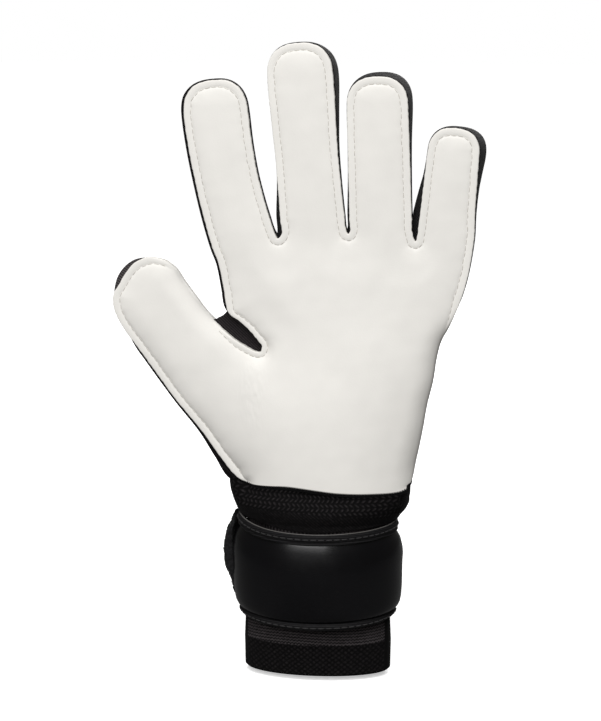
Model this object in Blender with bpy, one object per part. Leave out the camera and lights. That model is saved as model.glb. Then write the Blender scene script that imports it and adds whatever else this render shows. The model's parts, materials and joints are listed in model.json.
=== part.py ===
"""A goalkeeper's glove for the left hand, standing on its cuff with the fingers up.

The palm faces -Y, the thumb points to -X and the little finger is at +X. The origin is the
centre of the cuff's rim, which lies in the plane z = 0. Lengths are in millimetres and turn
into metres where the meshes are made.

The glove is a flat-cut glove: a front of foam-backed latex and a back of coated fabric, held
apart by strips of stretch mesh (the gussets), on an elastic knitted cuff with a wrap strap.
Fingers and thumb bend at two creases each, so their sheets are divided there.
"""
import bisect
import math

import bmesh
import bpy
from mathutils import Vector

MM = 0.001

# Fingers, as seen from the palm side. base and middle are the middles of the two creases and
# tip is the end of the finger, all (x, z). widths are at base, middle and tip; back_shift is
# how far the back of the finger leans sideways over its front.
FINGERS = {
    "index": {"base": (-29.5, 186.5), "middle": (-37.0, 213.5), "tip": (-42.4, 254.4),
              "widths": (27.6, 26.6, 26.6), "back_shift": -4.0},
    "middle": {"base": (-0.5, 190.5), "middle": (-3.6, 223.3), "tip": (-7.4, 269.7),
               "widths": (26.8, 26.2, 27.0), "back_shift": -0.5},
    "ring": {"base": (27.3, 190.8), "middle": (26.4, 218.3), "tip": (25.0, 256.2),
             "widths": (25.8, 25.6, 25.2), "back_shift": 0.8},
    "little": {"base": (53.9, 188.8), "middle": (55.3, 208.2), "tip": (57.8, 235.4),
               "widths": (23.6, 22.2, 21.4), "back_shift": 2.0},
}
THUMB = {"base": (-39.0, 129.0), "middle": (-57.9, 152.3), "tip": (-79.2, 176.8),
         "widths": (42.0, 34.0, 31.0), "back_shift": -3.0}

# Depths of the faces, counted away from the middle of the glove.
FINGER_FRONT = {"edge": 11.5, "crown": 15.0, "thick": 5.0}
FINGER_BACK = {"edge": 9.5, "crown": 14.0, "thick": 3.0}
THUMB_FRONT = {"edge": 12.0, "crown": 17.0, "thick": 5.0}
THUMB_BACK = {"edge": 9.5, "crown": 15.0, "thick": 3.0}
GUSSET = {"front": -5.8, "back": 6.0, "thick": 1.4, "inset": 1.0}
CREASE_GAP = 1.0          # between the sheets on the two sides of a crease
CREASE_LIFT = 0.3         # the crease's axis lies this far in front of the deepest sheet
TIP_ROUND = 12.0          # length of the rounded end of a finger
TIP_POWER = 2.6           # 2 is an ellipse, more is squarer

# Palm: rows from the hem to the knuckles, each with its left and right end (x, z), the depth
# of the palm there and at its middle, and the depth of the backhand at its ends and middle.
PALM_ROWS = (
    {"left": (-30.0, 84.7), "right": (39.5, 84.7), "front": (13.0, 24.0, 9.5), "back": (9.0, 21.5)},
    {"left": (-41.0, 96.6), "right": (42.5, 97.0), "front": (12.0, 23.0, 10.0), "back": (9.0, 21.5)},
    {"left": (-48.2, 106.7), "right": (45.0, 108.0), "front": (12.0, 22.0, 10.5), "back": (9.0, 21.0)},
    {"left": (-55.1, 115.0), "right": (47.0, 118.0), "front": (12.5, 21.5, 11.0), "back": (9.0, 20.5)},
    {"left": (-44.5, 124.2), "right": (49.0, 128.0), "front": (16.0, 21.0, 11.0), "back": (12.0, 20.0)},
    {"left": (-33.9, 133.4), "right": (50.8, 137.0), "front": (16.0, 20.5, 11.0), "back": (12.0, 19.5)},
    {"left": (-23.4, 142.6), "right": (52.7, 146.0), "front": (12.5, 20.0, 11.0), "back": (9.5, 19.0)},
    {"left": (-29.0, 150.0), "right": (55.5, 153.0), "front": (11.5, 19.5, 11.5), "back": (9.5, 18.5)},
    {"left": (-36.0, 156.5), "right": (58.5, 161.0), "front": (11.5, 18.5, 11.5), "back": (9.5, 18.0)},
    {"left": (-38.5, 168.3), "right": (63.0, 173.4), "front": (11.5, 17.0, 11.5), "back": (9.5, 17.0)},
)
KNUCKLE_DEPTH = {"front": (11.5, 14.8, 11.5), "back": (9.5, 15.5)}
THUMB_ROWS = (3, 6)       # the rows that end on the thumb's base crease
PALM_LAYERS = {           # thickness, depth below the outer face, inset from the edges
    "palm_latex": (4.0, 0.0, 0.0),
    "palm_foam": (2.5, 5.2, 5.0),
    "palm_lining": (0.9, 8.8, 6.0),
}
BACK_LAYERS = {
    "backhand_shell": (2.0, 0.0, 0.0),
    "backhand_foam": (2.2, 3.2, 5.0),
    "backhand_lining": (0.9, 6.6, 6.0),
}

# Cuff: rings of the knitted tube, (z, half width, half depth, middle x). The first two are
# alike, so that the rim is flat.
CUFF_RINGS = ((0.0, 31.7, 16.5, 0.0), (6.0, 31.7, 16.5, 0.0), (14.0, 31.8, 17.5, 0.0),
              (24.0, 31.4, 18.8, 0.0), (26.2, 29.8, 19.6, 0.0), (68.6, 29.8, 20.0, 0.0),
              (70.6, 33.6, 22.0, 0.4), (77.0, 36.2, 23.0, 0.7), (83.8, 38.2, 23.6, 0.9))
CUFF_WALL = 1.6
CUFF_SIDES = 36

# Wrap strap: an ellipse round the cuff. The front lies over the palm side of the wrist, and
# the flap over its back opens on the little-finger side. Angles count from +X, +Y is 90.
STRAP = {"half_width": 35.4, "half_depth": 25.6}
STRAP_LOW = 26.8
STRAP_HIGH = 68.2
BINDING_LOW = 30.2        # top of the lower binding tape
BINDING_HIGH = 63.8       # foot of the upper binding tape
FRONT_ANGLES = (-198.0, 18.0)
FLAP_ANGLES = (22.0, 158.0)
FLAP_AXIS = (34.2, 9.4)   # x, y of the fold that the flap turns on

COLOURS = {               # linear base colour, roughness
    "latex": ((0.82, 0.80, 0.74), 0.85),
    "foam": ((0.55, 0.55, 0.52), 0.95),
    "lining": ((0.03, 0.03, 0.032), 0.9),
    "shell": ((0.016, 0.016, 0.018), 0.5),
    "mesh": ((0.024, 0.024, 0.026), 0.8),
    "knit": ((0.014, 0.013, 0.014), 0.9),
    "strap": ((0.010, 0.010, 0.012), 0.35),
    "tape": ((0.018, 0.018, 0.020), 0.6),
    "loop": ((0.020, 0.020, 0.020), 1.0),
}


def clear_scene():
    for thing in list(bpy.data.objects):
        bpy.data.objects.remove(thing, do_unlink=True)


def make_materials():
    made = {}
    for name, (colour, roughness) in COLOURS.items():
        material = bpy.data.materials.new(name)
        material.use_nodes = True
        shader = material.node_tree.nodes["Principled BSDF"]
        shader.inputs["Base Color"].default_value = (*colour, 1.0)
        shader.inputs["Roughness"].default_value = roughness
        shader.inputs["Metallic"].default_value = 0.0
        made[name] = material
    return made


class Pivot:
    """An empty on a joint's axis, which the pieces of one moving body hang from."""

    def __init__(self, name, place, parent=None):
        self.place = Vector(place)
        self.empty = bpy.data.objects.new(name, None)
        offset = self.place
        if parent:
            self.empty.parent = parent.empty
            offset = self.place - parent.place
        self.empty.location = offset * MM
        bpy.context.scene.collection.objects.link(self.empty)


def thick_sheet(name, grid, thickness, material, pivot, ring=False):
    """A closed solid: faces over a grid of points, thickened away from their normals."""
    shape = bmesh.new()
    rows = [[shape.verts.new((Vector(p) - pivot.place) * MM) for p in row] for row in grid]
    for lower, upper in zip(rows, rows[1:]):
        count = len(lower)
        for i in range(count if ring else count - 1):
            j = (i + 1) % count
            shape.faces.new((lower[i], lower[j], upper[j], upper[i]))
    mesh = bpy.data.meshes.new(name)
    shape.to_mesh(mesh)
    shape.free()
    mesh.materials.append(material)
    mesh.shade_smooth()
    piece = bpy.data.objects.new(name, mesh)
    piece.parent = pivot.empty
    bpy.context.scene.collection.objects.link(piece)
    solid = piece.modifiers.new("thickness", "SOLIDIFY")
    solid.thickness = thickness * MM
    solid.offset = -1.0
    solid.use_even_offset = True
    return piece


def lerp(a, b, t):
    return a + (b - a) * t


def mix(p, q, t):
    return tuple(lerp(a, b, t) for a, b in zip(p, q))


# ---------------------------------------------------------------- fingers and thumb

class Digit:
    """A finger or thumb: its two creases, and the rows of its outline between them."""

    def __init__(self, name, size):
        self.name = name
        self.size = size
        base, middle, tip = (Vector(size[key]) for key in ("base", "middle", "tip"))
        self.base, self.middle, self.tip = base, middle, tip
        self.along_lower = (middle - base).normalized()
        self.along_upper = (tip - middle).normalized()
        self.length = (middle - base).length + (tip - middle).length

    @staticmethod
    def across(along):
        return Vector((along.y, -along.x))

    def crease(self, key):
        """The middle of a crease, the way along the digit there and half the width."""
        along = self.along_lower if key == "base" else self.along_upper
        half = self.size["widths"][0 if key == "base" else 1] / 2
        return getattr(self, key), along, half

    def crease_row(self, key, gap):
        place, along, half = self.crease(key)
        side = self.across(along) * half
        shift = along * gap
        return place + shift - side, place + shift + side

    def lower_rows(self, steps=3):
        start = self.crease_row("base", CREASE_GAP / 2)
        end = self.crease_row("middle", -CREASE_GAP / 2)
        return [(start[0].lerp(end[0], i / steps), start[1].lerp(end[1], i / steps))
                for i in range(steps + 1)]

    def upper_rows(self, steps=3, turns=(28.0, 50.0, 68.0, 84.0)):
        start = self.crease_row("middle", CREASE_GAP / 2)
        side = self.across(self.along_upper)
        half = self.size["widths"][2] / 2
        shoulder = self.tip - self.along_upper * TIP_ROUND
        end = (shoulder - side * half, shoulder + side * half)
        rows = [(start[0].lerp(end[0], i / steps), start[1].lerp(end[1], i / steps))
                for i in range(steps + 1)]
        for turn in turns:
            rise = math.sin(math.radians(turn)) ** (2 / TIP_POWER) * TIP_ROUND
            width = math.cos(math.radians(turn)) ** (2 / TIP_POWER) * half
            place = shoulder + self.along_upper * rise
            rows.append((place - side * width, place + side * width))
        return rows

    def lean(self, z, depth):
        """Sideways shift of a point of the back, growing from the base to the tip."""
        share = min(1.0, max(0.0, (z - self.base.y) / (self.tip.y - self.base.y)))
        reach = (depth + FINGER_FRONT["crown"]) / (FINGER_BACK["crown"] + FINGER_FRONT["crown"])
        return self.size["back_shift"] * share * max(0.0, reach)


def crowned_grid(digit, rows, face, side, columns=6):
    """Points of a digit's front (side -1) or back (side 1), deepest along its middle."""
    widest = (rows[0][1] - rows[0][0]).length
    grid = []
    for left, right in rows:
        height = (face["crown"] - face["edge"]) * min(1.0, (right - left).length / widest)
        line = []
        for i in range(columns + 1):
            share = i / columns
            spot = left.lerp(right, share)
            depth = side * (face["edge"] + height * (1 - (2 * share - 1) ** 2))
            line.append((spot.x + digit.lean(spot.y, depth), depth, spot.y))
        grid.append(line if side < 0 else line[::-1])
    return grid


def wall_grid(path, lean=None):
    """Points of a strip that stands inside an outline, from its front edge to its back."""
    grid = []
    last = len(path) - 1
    for i, spot in enumerate(path):
        along = (path[min(i + 1, last)] - path[max(i - 1, 0)]).normalized()
        inwards = Vector((-along.y, along.x))
        foot = spot + inwards * GUSSET["inset"]
        line = []
        for depth in (GUSSET["front"], (GUSSET["front"] + GUSSET["back"]) / 2, GUSSET["back"]):
            shift = lean(foot.y, depth) if lean else 0.0
            line.append((foot.x + shift, depth, foot.y))
        grid.append(line)
    return grid


def build_digit(digit, front, back, materials, root):
    """Front, back and gussets of a digit, on the two pivots of its creases."""
    name = digit.name
    axis_depth = -(front["crown"] + CREASE_LIFT)
    place = digit.base
    lower = Pivot(f"{name}_base_crease", (place.x, axis_depth, place.y), root)
    place = digit.middle
    upper = Pivot(f"{name}_middle_crease", (place.x, axis_depth, place.y), lower)
    for part, pivot, rows in (("lower", lower, digit.lower_rows()),
                              ("upper", upper, digit.upper_rows())):
        thick_sheet(f"{name}_latex_{part}", crowned_grid(digit, rows, front, -1),
                    front["thick"], materials["latex"], pivot)
        thick_sheet(f"{name}_back_{part}", crowned_grid(digit, rows, back, 1),
                    back["thick"], materials["shell"], pivot)
    left = [row[0] for row in digit.lower_rows()][::-1]
    right = [row[1] for row in digit.lower_rows()]
    for side, path in (("left", left), ("right", right)):
        thick_sheet(f"{name}_gusset_{side}", wall_grid(path, digit.lean),
                    GUSSET["thick"], materials["mesh"], lower)
    rows = digit.upper_rows()
    around = [row[1] for row in rows] + [row[0] for row in rows[::-1]]
    thick_sheet(f"{name}_gusset_tip", wall_grid(around, digit.lean),
                GUSSET["thick"], materials["mesh"], upper)


# ---------------------------------------------------------------- palm and backhand

def knuckle_line(digits):
    """Points along the base creases, from the index finger's outer side to the little one's."""
    points = []
    for digit in digits:
        left, right = digit.crease_row("base", -CREASE_GAP / 2)
        points += [left.lerp(right, i / 3) for i in range(4)]
    return points


def thumb_crease_ends(thumb):
    return thumb.crease_row("base", -CREASE_GAP / 2)


def palm_outline(digits, thumb):
    """The palm's rows as (left, right) ends, those at the thumb moved onto its crease."""
    outer, inner = thumb_crease_ends(thumb)
    first, last = THUMB_ROWS
    ends = []
    for i, row in enumerate(PALM_ROWS):
        left = Vector(row["left"])
        if first <= i <= last:
            left = outer.lerp(inner, (i - first) / (last - first))
        ends.append((left, Vector(row["right"])))
    return ends


def across_profile(share, left, middle, right):
    """Depth across the palm: straight from end to end, plus a broad crown."""
    flat = lerp(left, right, share)
    crown = middle - (left + right) / 2
    return flat + crown * (1 - abs(2 * share - 1) ** 3)


def palm_grid(digits, thumb, side, sink=0.0, inset=0.0):
    """Points of the palm (side -1) or backhand (side 1), sunk and inset for inner layers."""
    top = knuckle_line(digits)
    width = top[-1].x - top[0].x
    shares = [(point.x - top[0].x) / width for point in top]
    ends = palm_outline(digits, thumb)
    grid = []
    for (left, right), row in zip(ends, PALM_ROWS):
        narrow = Vector((inset, 0.0))
        left, right = left + narrow, right - narrow
        if side < 0:
            depths = row["front"]
        else:
            depths = (row["back"][0], row["back"][1], row["back"][0])
        lift = inset if row is PALM_ROWS[0] and inset else 0.0
        line = []
        for share in shares:
            spot = left.lerp(right, share)
            depth = side * (across_profile(share, *depths) - sink)
            line.append((spot.x, depth, spot.y + lift / 2))
        grid.append(line)
    depths = KNUCKLE_DEPTH["front" if side < 0 else "back"]
    depths = depths if len(depths) == 3 else (depths[0], depths[1], depths[0])
    shrink = 1 - 2 * inset / width
    centre = (top[0].x + top[-1].x) / 2
    line = []
    for share, point in zip(shares, top):
        depth = side * (across_profile(share, *depths) - sink)
        line.append((centre + (point.x - centre) * shrink, depth, point.y - inset))
    grid.append(line)
    return grid if side < 0 else [line[::-1] for line in grid]


def build_palm(digits, thumb, materials, root):
    stuff = {"palm_latex": "latex", "palm_foam": "foam", "palm_lining": "lining",
             "backhand_shell": "shell", "backhand_foam": "foam", "backhand_lining": "lining"}
    for side, layers in ((-1, PALM_LAYERS), (1, BACK_LAYERS)):
        for name, (thick, sink, inset) in layers.items():
            grid = palm_grid(digits, thumb, side, sink, inset)
            thick_sheet(name, grid, thick, materials[stuff[name]], root)
    ends = palm_outline(digits, thumb)
    first, last = THUMB_ROWS
    top_left = digits[0].crease_row("base", -CREASE_GAP / 2)[0]
    top_right = digits[-1].crease_row("base", -CREASE_GAP / 2)[1]
    rights = [right for _, right in ends] + [top_right]
    lefts = [left for left, _ in ends] + [top_left]
    walls = {"side_gusset_little": rights,
             "side_gusset_thumb": lefts[:first + 1][::-1],
             "side_gusset_index": lefts[last + 1:][::-1]}
    for name, path in walls.items():
        thick_sheet(name, wall_grid(path), GUSSET["thick"], materials["mesh"], root)


# ---------------------------------------------------------------- cuff and strap

def ellipse_point(angle, half_width, half_depth, middle=0.0):
    turn = math.radians(angle)
    return middle + half_width * math.cos(turn), half_depth * math.sin(turn)


def cuff_size(z):
    """Half width, half depth and middle of the cuff at a height, between its rings."""
    heights = [ring[0] for ring in CUFF_RINGS]
    i = min(max(bisect.bisect_right(heights, z), 1), len(heights) - 1)
    low, high = CUFF_RINGS[i - 1], CUFF_RINGS[i]
    return mix(low[1:], high[1:], (z - low[0]) / (high[0] - low[0]))


def build_cuff(materials, root):
    grid = []
    for z, half_width, half_depth, middle in CUFF_RINGS:
        ring = []
        for i in range(CUFF_SIDES):
            x, y = ellipse_point(360 * i / CUFF_SIDES, half_width, half_depth, middle)
            ring.append((x, y, z))
        grid.append(ring)
    thick_sheet("elastic_cuff", grid, CUFF_WALL, materials["knit"], root, ring=True)
    tape = []
    for i in range(25):
        angle = lerp(-165.0, -15.0, i / 24)
        line = []
        for z in (83.6, 79.6):
            half_width, half_depth, middle = cuff_size(z)
            x, y = ellipse_point(angle, half_width + 1.2, half_depth + 1.2, middle)
            line.append((x, y, z))
        tape.append(line)
    thick_sheet("hem_tape", tape, 0.7, materials["tape"], root)


def strap_grid(angles, grow, low, high, steps):
    """Points of a band on the strap's ellipse, grown outwards (or inwards, if negative)."""
    grid = []
    for i in range(steps + 1):
        angle = lerp(*angles, i / steps)
        x, y = ellipse_point(angle, STRAP["half_width"] + grow, STRAP["half_depth"] + grow)
        grid.append([(x, y, high), (x, y, (low + high) / 2), (x, y, low)])
    return grid


def build_strap(materials, root):
    bands = {   # name: (angles, growth of the outer face, low, high, thickness, steps, material)
        "strap_webbing": (FRONT_ANGLES, -2.8, STRAP_LOW, STRAP_HIGH, 1.2, 36, "tape"),
        "strap_front_pad": (FRONT_ANGLES, 0.0, BINDING_LOW + 0.4, BINDING_HIGH - 0.4, 2.4, 36, "strap"),
        "strap_upper_binding": (FRONT_ANGLES, -0.8, BINDING_HIGH, STRAP_HIGH, 1.5, 36, "tape"),
        "strap_lower_binding": (FRONT_ANGLES, -0.8, STRAP_LOW, BINDING_LOW, 1.5, 36, "tape"),
        "loop_patch": ((60.0, 155.0), -4.5, 32.0, 63.0, 0.7, 16, "loop"),
    }
    for name, (angles, grow, low, high, thick, steps, stuff) in bands.items():
        thick_sheet(name, strap_grid(angles, grow, low, high, steps), thick, materials[stuff], root)
    flap = Pivot("flap_fold", (*FLAP_AXIS, (STRAP_LOW + STRAP_HIGH) / 2), root)
    moving = {
        "strap_flap": (FLAP_ANGLES, 0.0, STRAP_LOW, STRAP_HIGH, 2.6, 24, "strap"),
        "hook_patch": ((104.0, 154.0), -3.1, 33.0, 62.0, 0.8, 10, "loop"),
        "pull_tab": ((126.0, 186.0), 4.0, 41.0, 67.0, 3.0, 12, "loop"),
    }
    for name, (angles, grow, low, high, thick, steps, stuff) in moving.items():
        thick_sheet(name, strap_grid(angles, grow, low, high, steps), thick, materials[stuff], flap)


def main():
    clear_scene()
    materials = make_materials()
    root = Pivot("glove", (0.0, 0.0, 0.0))
    digits = [Digit(name, size) for name, size in FINGERS.items()]
    thumb = Digit("thumb", THUMB)
    for digit in digits:
        build_digit(digit, FINGER_FRONT, FINGER_BACK, materials, root)
    build_digit(thumb, THUMB_FRONT, THUMB_BACK, materials, root)
    build_palm(digits, thumb, materials, root)
    build_cuff(materials, root)
    build_strap(materials, root)


main()
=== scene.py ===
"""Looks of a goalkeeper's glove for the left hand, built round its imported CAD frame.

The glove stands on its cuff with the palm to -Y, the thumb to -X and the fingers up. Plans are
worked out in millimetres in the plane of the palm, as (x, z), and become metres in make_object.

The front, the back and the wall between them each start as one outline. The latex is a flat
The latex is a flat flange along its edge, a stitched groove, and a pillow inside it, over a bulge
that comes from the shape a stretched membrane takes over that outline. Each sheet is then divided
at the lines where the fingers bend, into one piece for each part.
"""

import json
import math

import bpy
import numpy as np
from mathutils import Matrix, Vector, bvhtree, geometry, kdtree


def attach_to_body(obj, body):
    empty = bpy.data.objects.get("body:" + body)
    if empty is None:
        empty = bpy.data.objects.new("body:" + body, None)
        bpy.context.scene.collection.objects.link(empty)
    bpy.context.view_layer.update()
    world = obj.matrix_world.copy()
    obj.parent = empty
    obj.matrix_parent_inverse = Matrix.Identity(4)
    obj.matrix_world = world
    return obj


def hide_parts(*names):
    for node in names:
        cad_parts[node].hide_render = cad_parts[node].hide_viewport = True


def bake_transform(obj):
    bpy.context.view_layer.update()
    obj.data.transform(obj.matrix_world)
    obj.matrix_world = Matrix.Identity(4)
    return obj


MM = 0.001

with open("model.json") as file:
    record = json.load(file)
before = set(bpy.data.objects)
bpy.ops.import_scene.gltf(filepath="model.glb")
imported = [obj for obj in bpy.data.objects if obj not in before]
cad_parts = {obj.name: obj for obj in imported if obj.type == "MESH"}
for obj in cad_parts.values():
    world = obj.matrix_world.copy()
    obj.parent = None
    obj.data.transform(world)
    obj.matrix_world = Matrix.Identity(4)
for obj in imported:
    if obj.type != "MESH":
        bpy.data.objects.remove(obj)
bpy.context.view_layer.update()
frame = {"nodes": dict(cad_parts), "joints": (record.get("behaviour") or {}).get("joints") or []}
JOINTS = {joint["name"]: joint for joint in frame["joints"]}
FINGER_NAMES = ("index", "middle", "ring", "little")

# ---------------------------------------------------------------- driving dimensions, mm

# half: half widths of a finger's latex at its base, middle crease and end. round: the length
# of its rounded end. back: how far the back stands out beyond the latex, at the left of the
# base and the tip, at the right of the base and the tip, and above the tip.
FINGER_SHAPES = {
    "index": {"half": (13.4, 13.1, 13.4), "round": 14.5, "back": (1.6, 2.6, -2.8, -2.4, -0.4)},
    "middle": {"half": (13.4, 13.0, 13.6), "round": 14.5, "back": (4.4, 0.0, -2.3, 0.6, -1.0)},
    "ring": {"half": (12.9, 12.8, 12.6), "round": 13.0, "back": (2.8, 0.6, -1.8, 0.8, 1.0)},
    "little": {"half": (11.7, 11.0, 10.6), "round": 11.0, "back": (4.2, -0.6, -0.9, 2.8, -0.5)},
}
TIP_POWER = 2.5           # a finger's end is a superellipse of this power
BASE_LINE = 2.0           # where a finger starts to bend, past its base crease
# The end of the gap between a finger and the next one towards the thumb.
WEBS = {"little": (41.5, 188.7), "ring": (13.7, 191.4), "middle": (-15.7, 189.2)}
BACK_WEBS = {"little": (38.6, 189.0), "ring": (11.1, 191.0), "middle": (-18.5, 189.2)}
# Where the thumb's bend at its base starts and ends, where its two parts meet, and how much
# later the bend starts for each millimetre behind the palm's seam.
THUMB_START, THUMB_END, THUMB_SPLIT, THUMB_SKEW = 6.0, 16.0, 27.0, 0.5
THUMB_MIDDLE_REACH = 3.2  # how far either side of its middle joint it bends
# The thumb's edge, as (distance along it from its base crease, distance to its inner side).
# The outer edge's points also have their peek and how far the back stands out.
THUMB_INNER = ((6.0, 16.3), (13.0, 14.2), (27.0, 12.3), (34.0, 12.5), (42.5, 12.9))
THUMB_TIP = ((49.4, 13.7), (54.9, 12.3), (59.9, 7.9), (61.5, 2.0), (60.6, -3.6),
             (58.6, -9.2), (56.6, -14.0), (50.9, -17.8))
THUMB_TIP_PEEK = (-0.5, -0.5, -0.4, 1.2, 2.3, 2.0, -0.2, -0.4)
THUMB_TIP_BACK = (6.1, 6.1, 6.1, 6.1, 6.3, 6.0, 3.6, 3.2)
THUMB_OUTER = ((43.9, -19.4, -0.3, 3.2), (34.0, -19.9, 1.3, 3.6), (27.0, -20.2, 1.5, 3.6),
               (6.0, -21.3, 1.5, 3.0))

# Edges of the palm: from the little finger down to the hem, along the hem, from the index
# finger down to the thumb's slit, along the slit, and from the thumb down to the hem.
PALM_RIGHT = ((63.1, 173.4), (60.1, 163.4), (56.1, 153.5), (52.4, 146.3), (50.7, 139.7),
              (49.2, 129.6), (46.8, 119.4), (45.1, 109.1), (42.5, 96.0))
HEM = ((39.8, 85.0), (36.8, 83.4), (23.5, 82.8), (10.9, 83.2), (-9.5, 85.2), (-29.0, 85.2))
PALM_LEFT = ((-40.6, 178.3), (-38.6, 168.3), (-37.4, 160.6))
SLIT_UPPER = ((-36.7, 158.0), (-35.2, 156.3), (-32.6, 154.6), (-28.6, 151.2), (-24.8, 147.0))
SLIT_END = ((-22.4, 143.4), (-23.4, 141.2))
BACK_SLIT = ((-38.9, 158.6), (-38.7, 157.0), (-38.5, 155.6), (-38.4, 154.4), (-38.2, 153.4),
             (-38.1, 152.7), (-38.2, 152.2))
THENAR = ((-48.2, 106.8), (-41.0, 96.8), (-34.0, 88.0))

FLANGE = 3.0              # width of the flat edge outside the stitches
SLIT_FLANGE = 2.4
ROLLED = 0.6              # where the latex is rolled round the side there is almost no flange
FRONT_SEAM = 11.6         # depth of the stitched seam in front of the glove's middle plane
BACK_SEAM = 9.8
CUT_EDGE = 2.4            # height of the latex's cut edge
ROLLED_EDGE = 5.0         # height of the latex's edge where it rolls round the side
ROLL_DROP = 4.0           # how far the latex falls back before that edge
ROLL_WIDTH = 9.0
ROLL_TOP, ROLL_SPAN = 166.0, 20.0  # it starts to roll here, and is fully rolled this far down
BACK_INSET = (0.9, 2.4)   # how far the back's edge is inside the latex's, above and below that
HEM_EDGE = 2.2
PEEK = 0.3                # how far the dark wall shows beyond the latex along a digit
SIDE_PEEK = 1.5           # and on the index finger's side of the glove
STEP = 1.0                # spacing of points along an outline
FINE_STEP = 0.4           # spacing round the ends of slits
GRID = 1.2                # spacing of the membrane's grid
MESH_STEP = 1.5           # spacing of points inside a sheet
EDGE_ROWS = 4             # rows of a sheet's cut edge
GROOVE_ROW = 10           # the row at the bottom of the stitched groove
FRONT_GROOVE, BACK_GROOVE = 0.18, 0.5
BACK_CUT_EDGE = 1.6
# Share of the membrane's height that a sheet bulges by, at its fingers and at its hem.
FRONT_BULGE, BACK_BULGE = (0.0038, 0.0118), (0.0050, 0.0100)
THUMB_BULGE = 1.7         # how much further the thumb bulges

# ---------------------------------------------------------------- small helpers


def lerp(a, b, t):
    return a + (b - a) * t


def smooth(t):
    t = np.clip(t, 0.0, 1.0)
    return t * t * (3 - 2 * t)


def waves(points, size, seed, octaves=3):
    """Smooth uneven values between about -1 and 1 at plan points, from turned sine waves."""
    rng = np.random.default_rng(seed)
    points = np.asarray(points, float)
    total = np.zeros(len(points))
    weight = 0.0
    for octave in range(octaves):
        share = 0.5 ** octave
        for _ in range(5):
            angle, phase = rng.uniform(0, 2 * math.pi, 2)
            rate = 2 * math.pi * 2 ** octave / size * rng.uniform(0.7, 1.3)
            along = points[:, 0] * math.cos(angle) + points[:, 1] * math.sin(angle)
            total += share * np.sin(rate * along + phase)
        weight += share * 2.5
    return total / weight


def catmull(points, counts):
    """A closed centripetal Catmull-Rom curve through points, with counts samples per span.

    Only the first two values of a point are its place; the others are carried along.
    """
    points = np.asarray(points, float)
    size = len(points)
    out = []
    for i in range(size):
        p = [points[(i + k) % size] for k in (-1, 0, 1, 2)]
        knots = [0.0]
        for a, b in zip(p, p[1:]):
            knots.append(knots[-1] + max(np.linalg.norm((b - a)[:2]), 1e-6) ** 0.5)
        for step in range(counts[i]):
            k = lerp(knots[1], knots[2], step / counts[i])
            row = p
            for level in (1, 2):
                spans = range(4 - level)
                row = [lerp(row[j], row[j + 1], (k - knots[j]) / (knots[j + level] - knots[j]))
                       for j in spans]
            out.append(lerp(row[0], row[1], (k - knots[1]) / (knots[2] - knots[1])))
    return np.array(out)


def inward_normals(loop):
    """Unit normals of a closed loop that runs anticlockwise, pointing into it."""
    along = np.roll(loop, -1, 0) - np.roll(loop, 1, 0)
    along /= np.linalg.norm(along, axis=1)[:, None]
    return np.stack([-along[:, 1], along[:, 0]], 1)


def running_length(path):
    """Distance along a path to each of its points."""
    return np.concatenate([[0.0], np.cumsum(np.linalg.norm(np.diff(path, axis=0), axis=1))])


def closed_loop(points):
    return np.vstack([points, points[:1]])


def in_polygon(points, loop, chunk=2000):
    """Even-odd test of plan points against a closed loop."""
    a, b = loop, np.roll(loop, -1, 0)
    rise = b[:, 1] - a[:, 1]
    rise = np.where(np.abs(rise) < 1e-12, 1e-12, rise)
    result = np.zeros(len(points), bool)
    for i in range(0, len(points), chunk):
        p = points[i:i + chunk]
        above = (a[None, :, 1] > p[:, None, 1]) != (b[None, :, 1] > p[:, None, 1])
        cross = (b[:, 0] - a[:, 0]) * (p[:, None, 1] - a[:, 1]) / rise + a[:, 0]
        result[i:i + chunk] = (above & (p[:, None, 0] < cross)).sum(1) % 2 == 1
    return result


def nearest(points, start, end, tried=4):
    """Distance of points to the segments start-end, and the nearest place as index + share."""
    middle = (start + end) / 2
    tree = kdtree.KDTree(len(middle))
    for i, (x, z) in enumerate(middle.tolist()):
        tree.insert((x, z, 0.0), i)
    tree.balance()
    tried = min(tried, len(middle))
    found = [[hit[1] for hit in tree.find_n((x, z, 0.0), tried)] for x, z in points.tolist()]
    found = np.array(found, int).reshape(len(points), tried)
    span = (end - start)[found]
    offset = points[:, None, :] - start[found]
    share = np.clip((offset * span).sum(2) / np.maximum((span ** 2).sum(2), 1e-12), 0, 1)
    gap = ((offset - share[..., None] * span) ** 2).sum(2)
    rows, best = np.arange(len(points)), gap.argmin(1)
    return np.sqrt(gap[rows, best]), found[rows, best] + np.minimum(share[rows, best], 0.999)


def nearest_on_loop(points, loop):
    """Distance of points to a closed loop, and the index of the nearest of its segments."""
    gap, place = nearest(points, loop, np.roll(loop, -1, 0))
    return gap, place.astype(int) % len(loop)


# ---------------------------------------------------------------- digits

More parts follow.
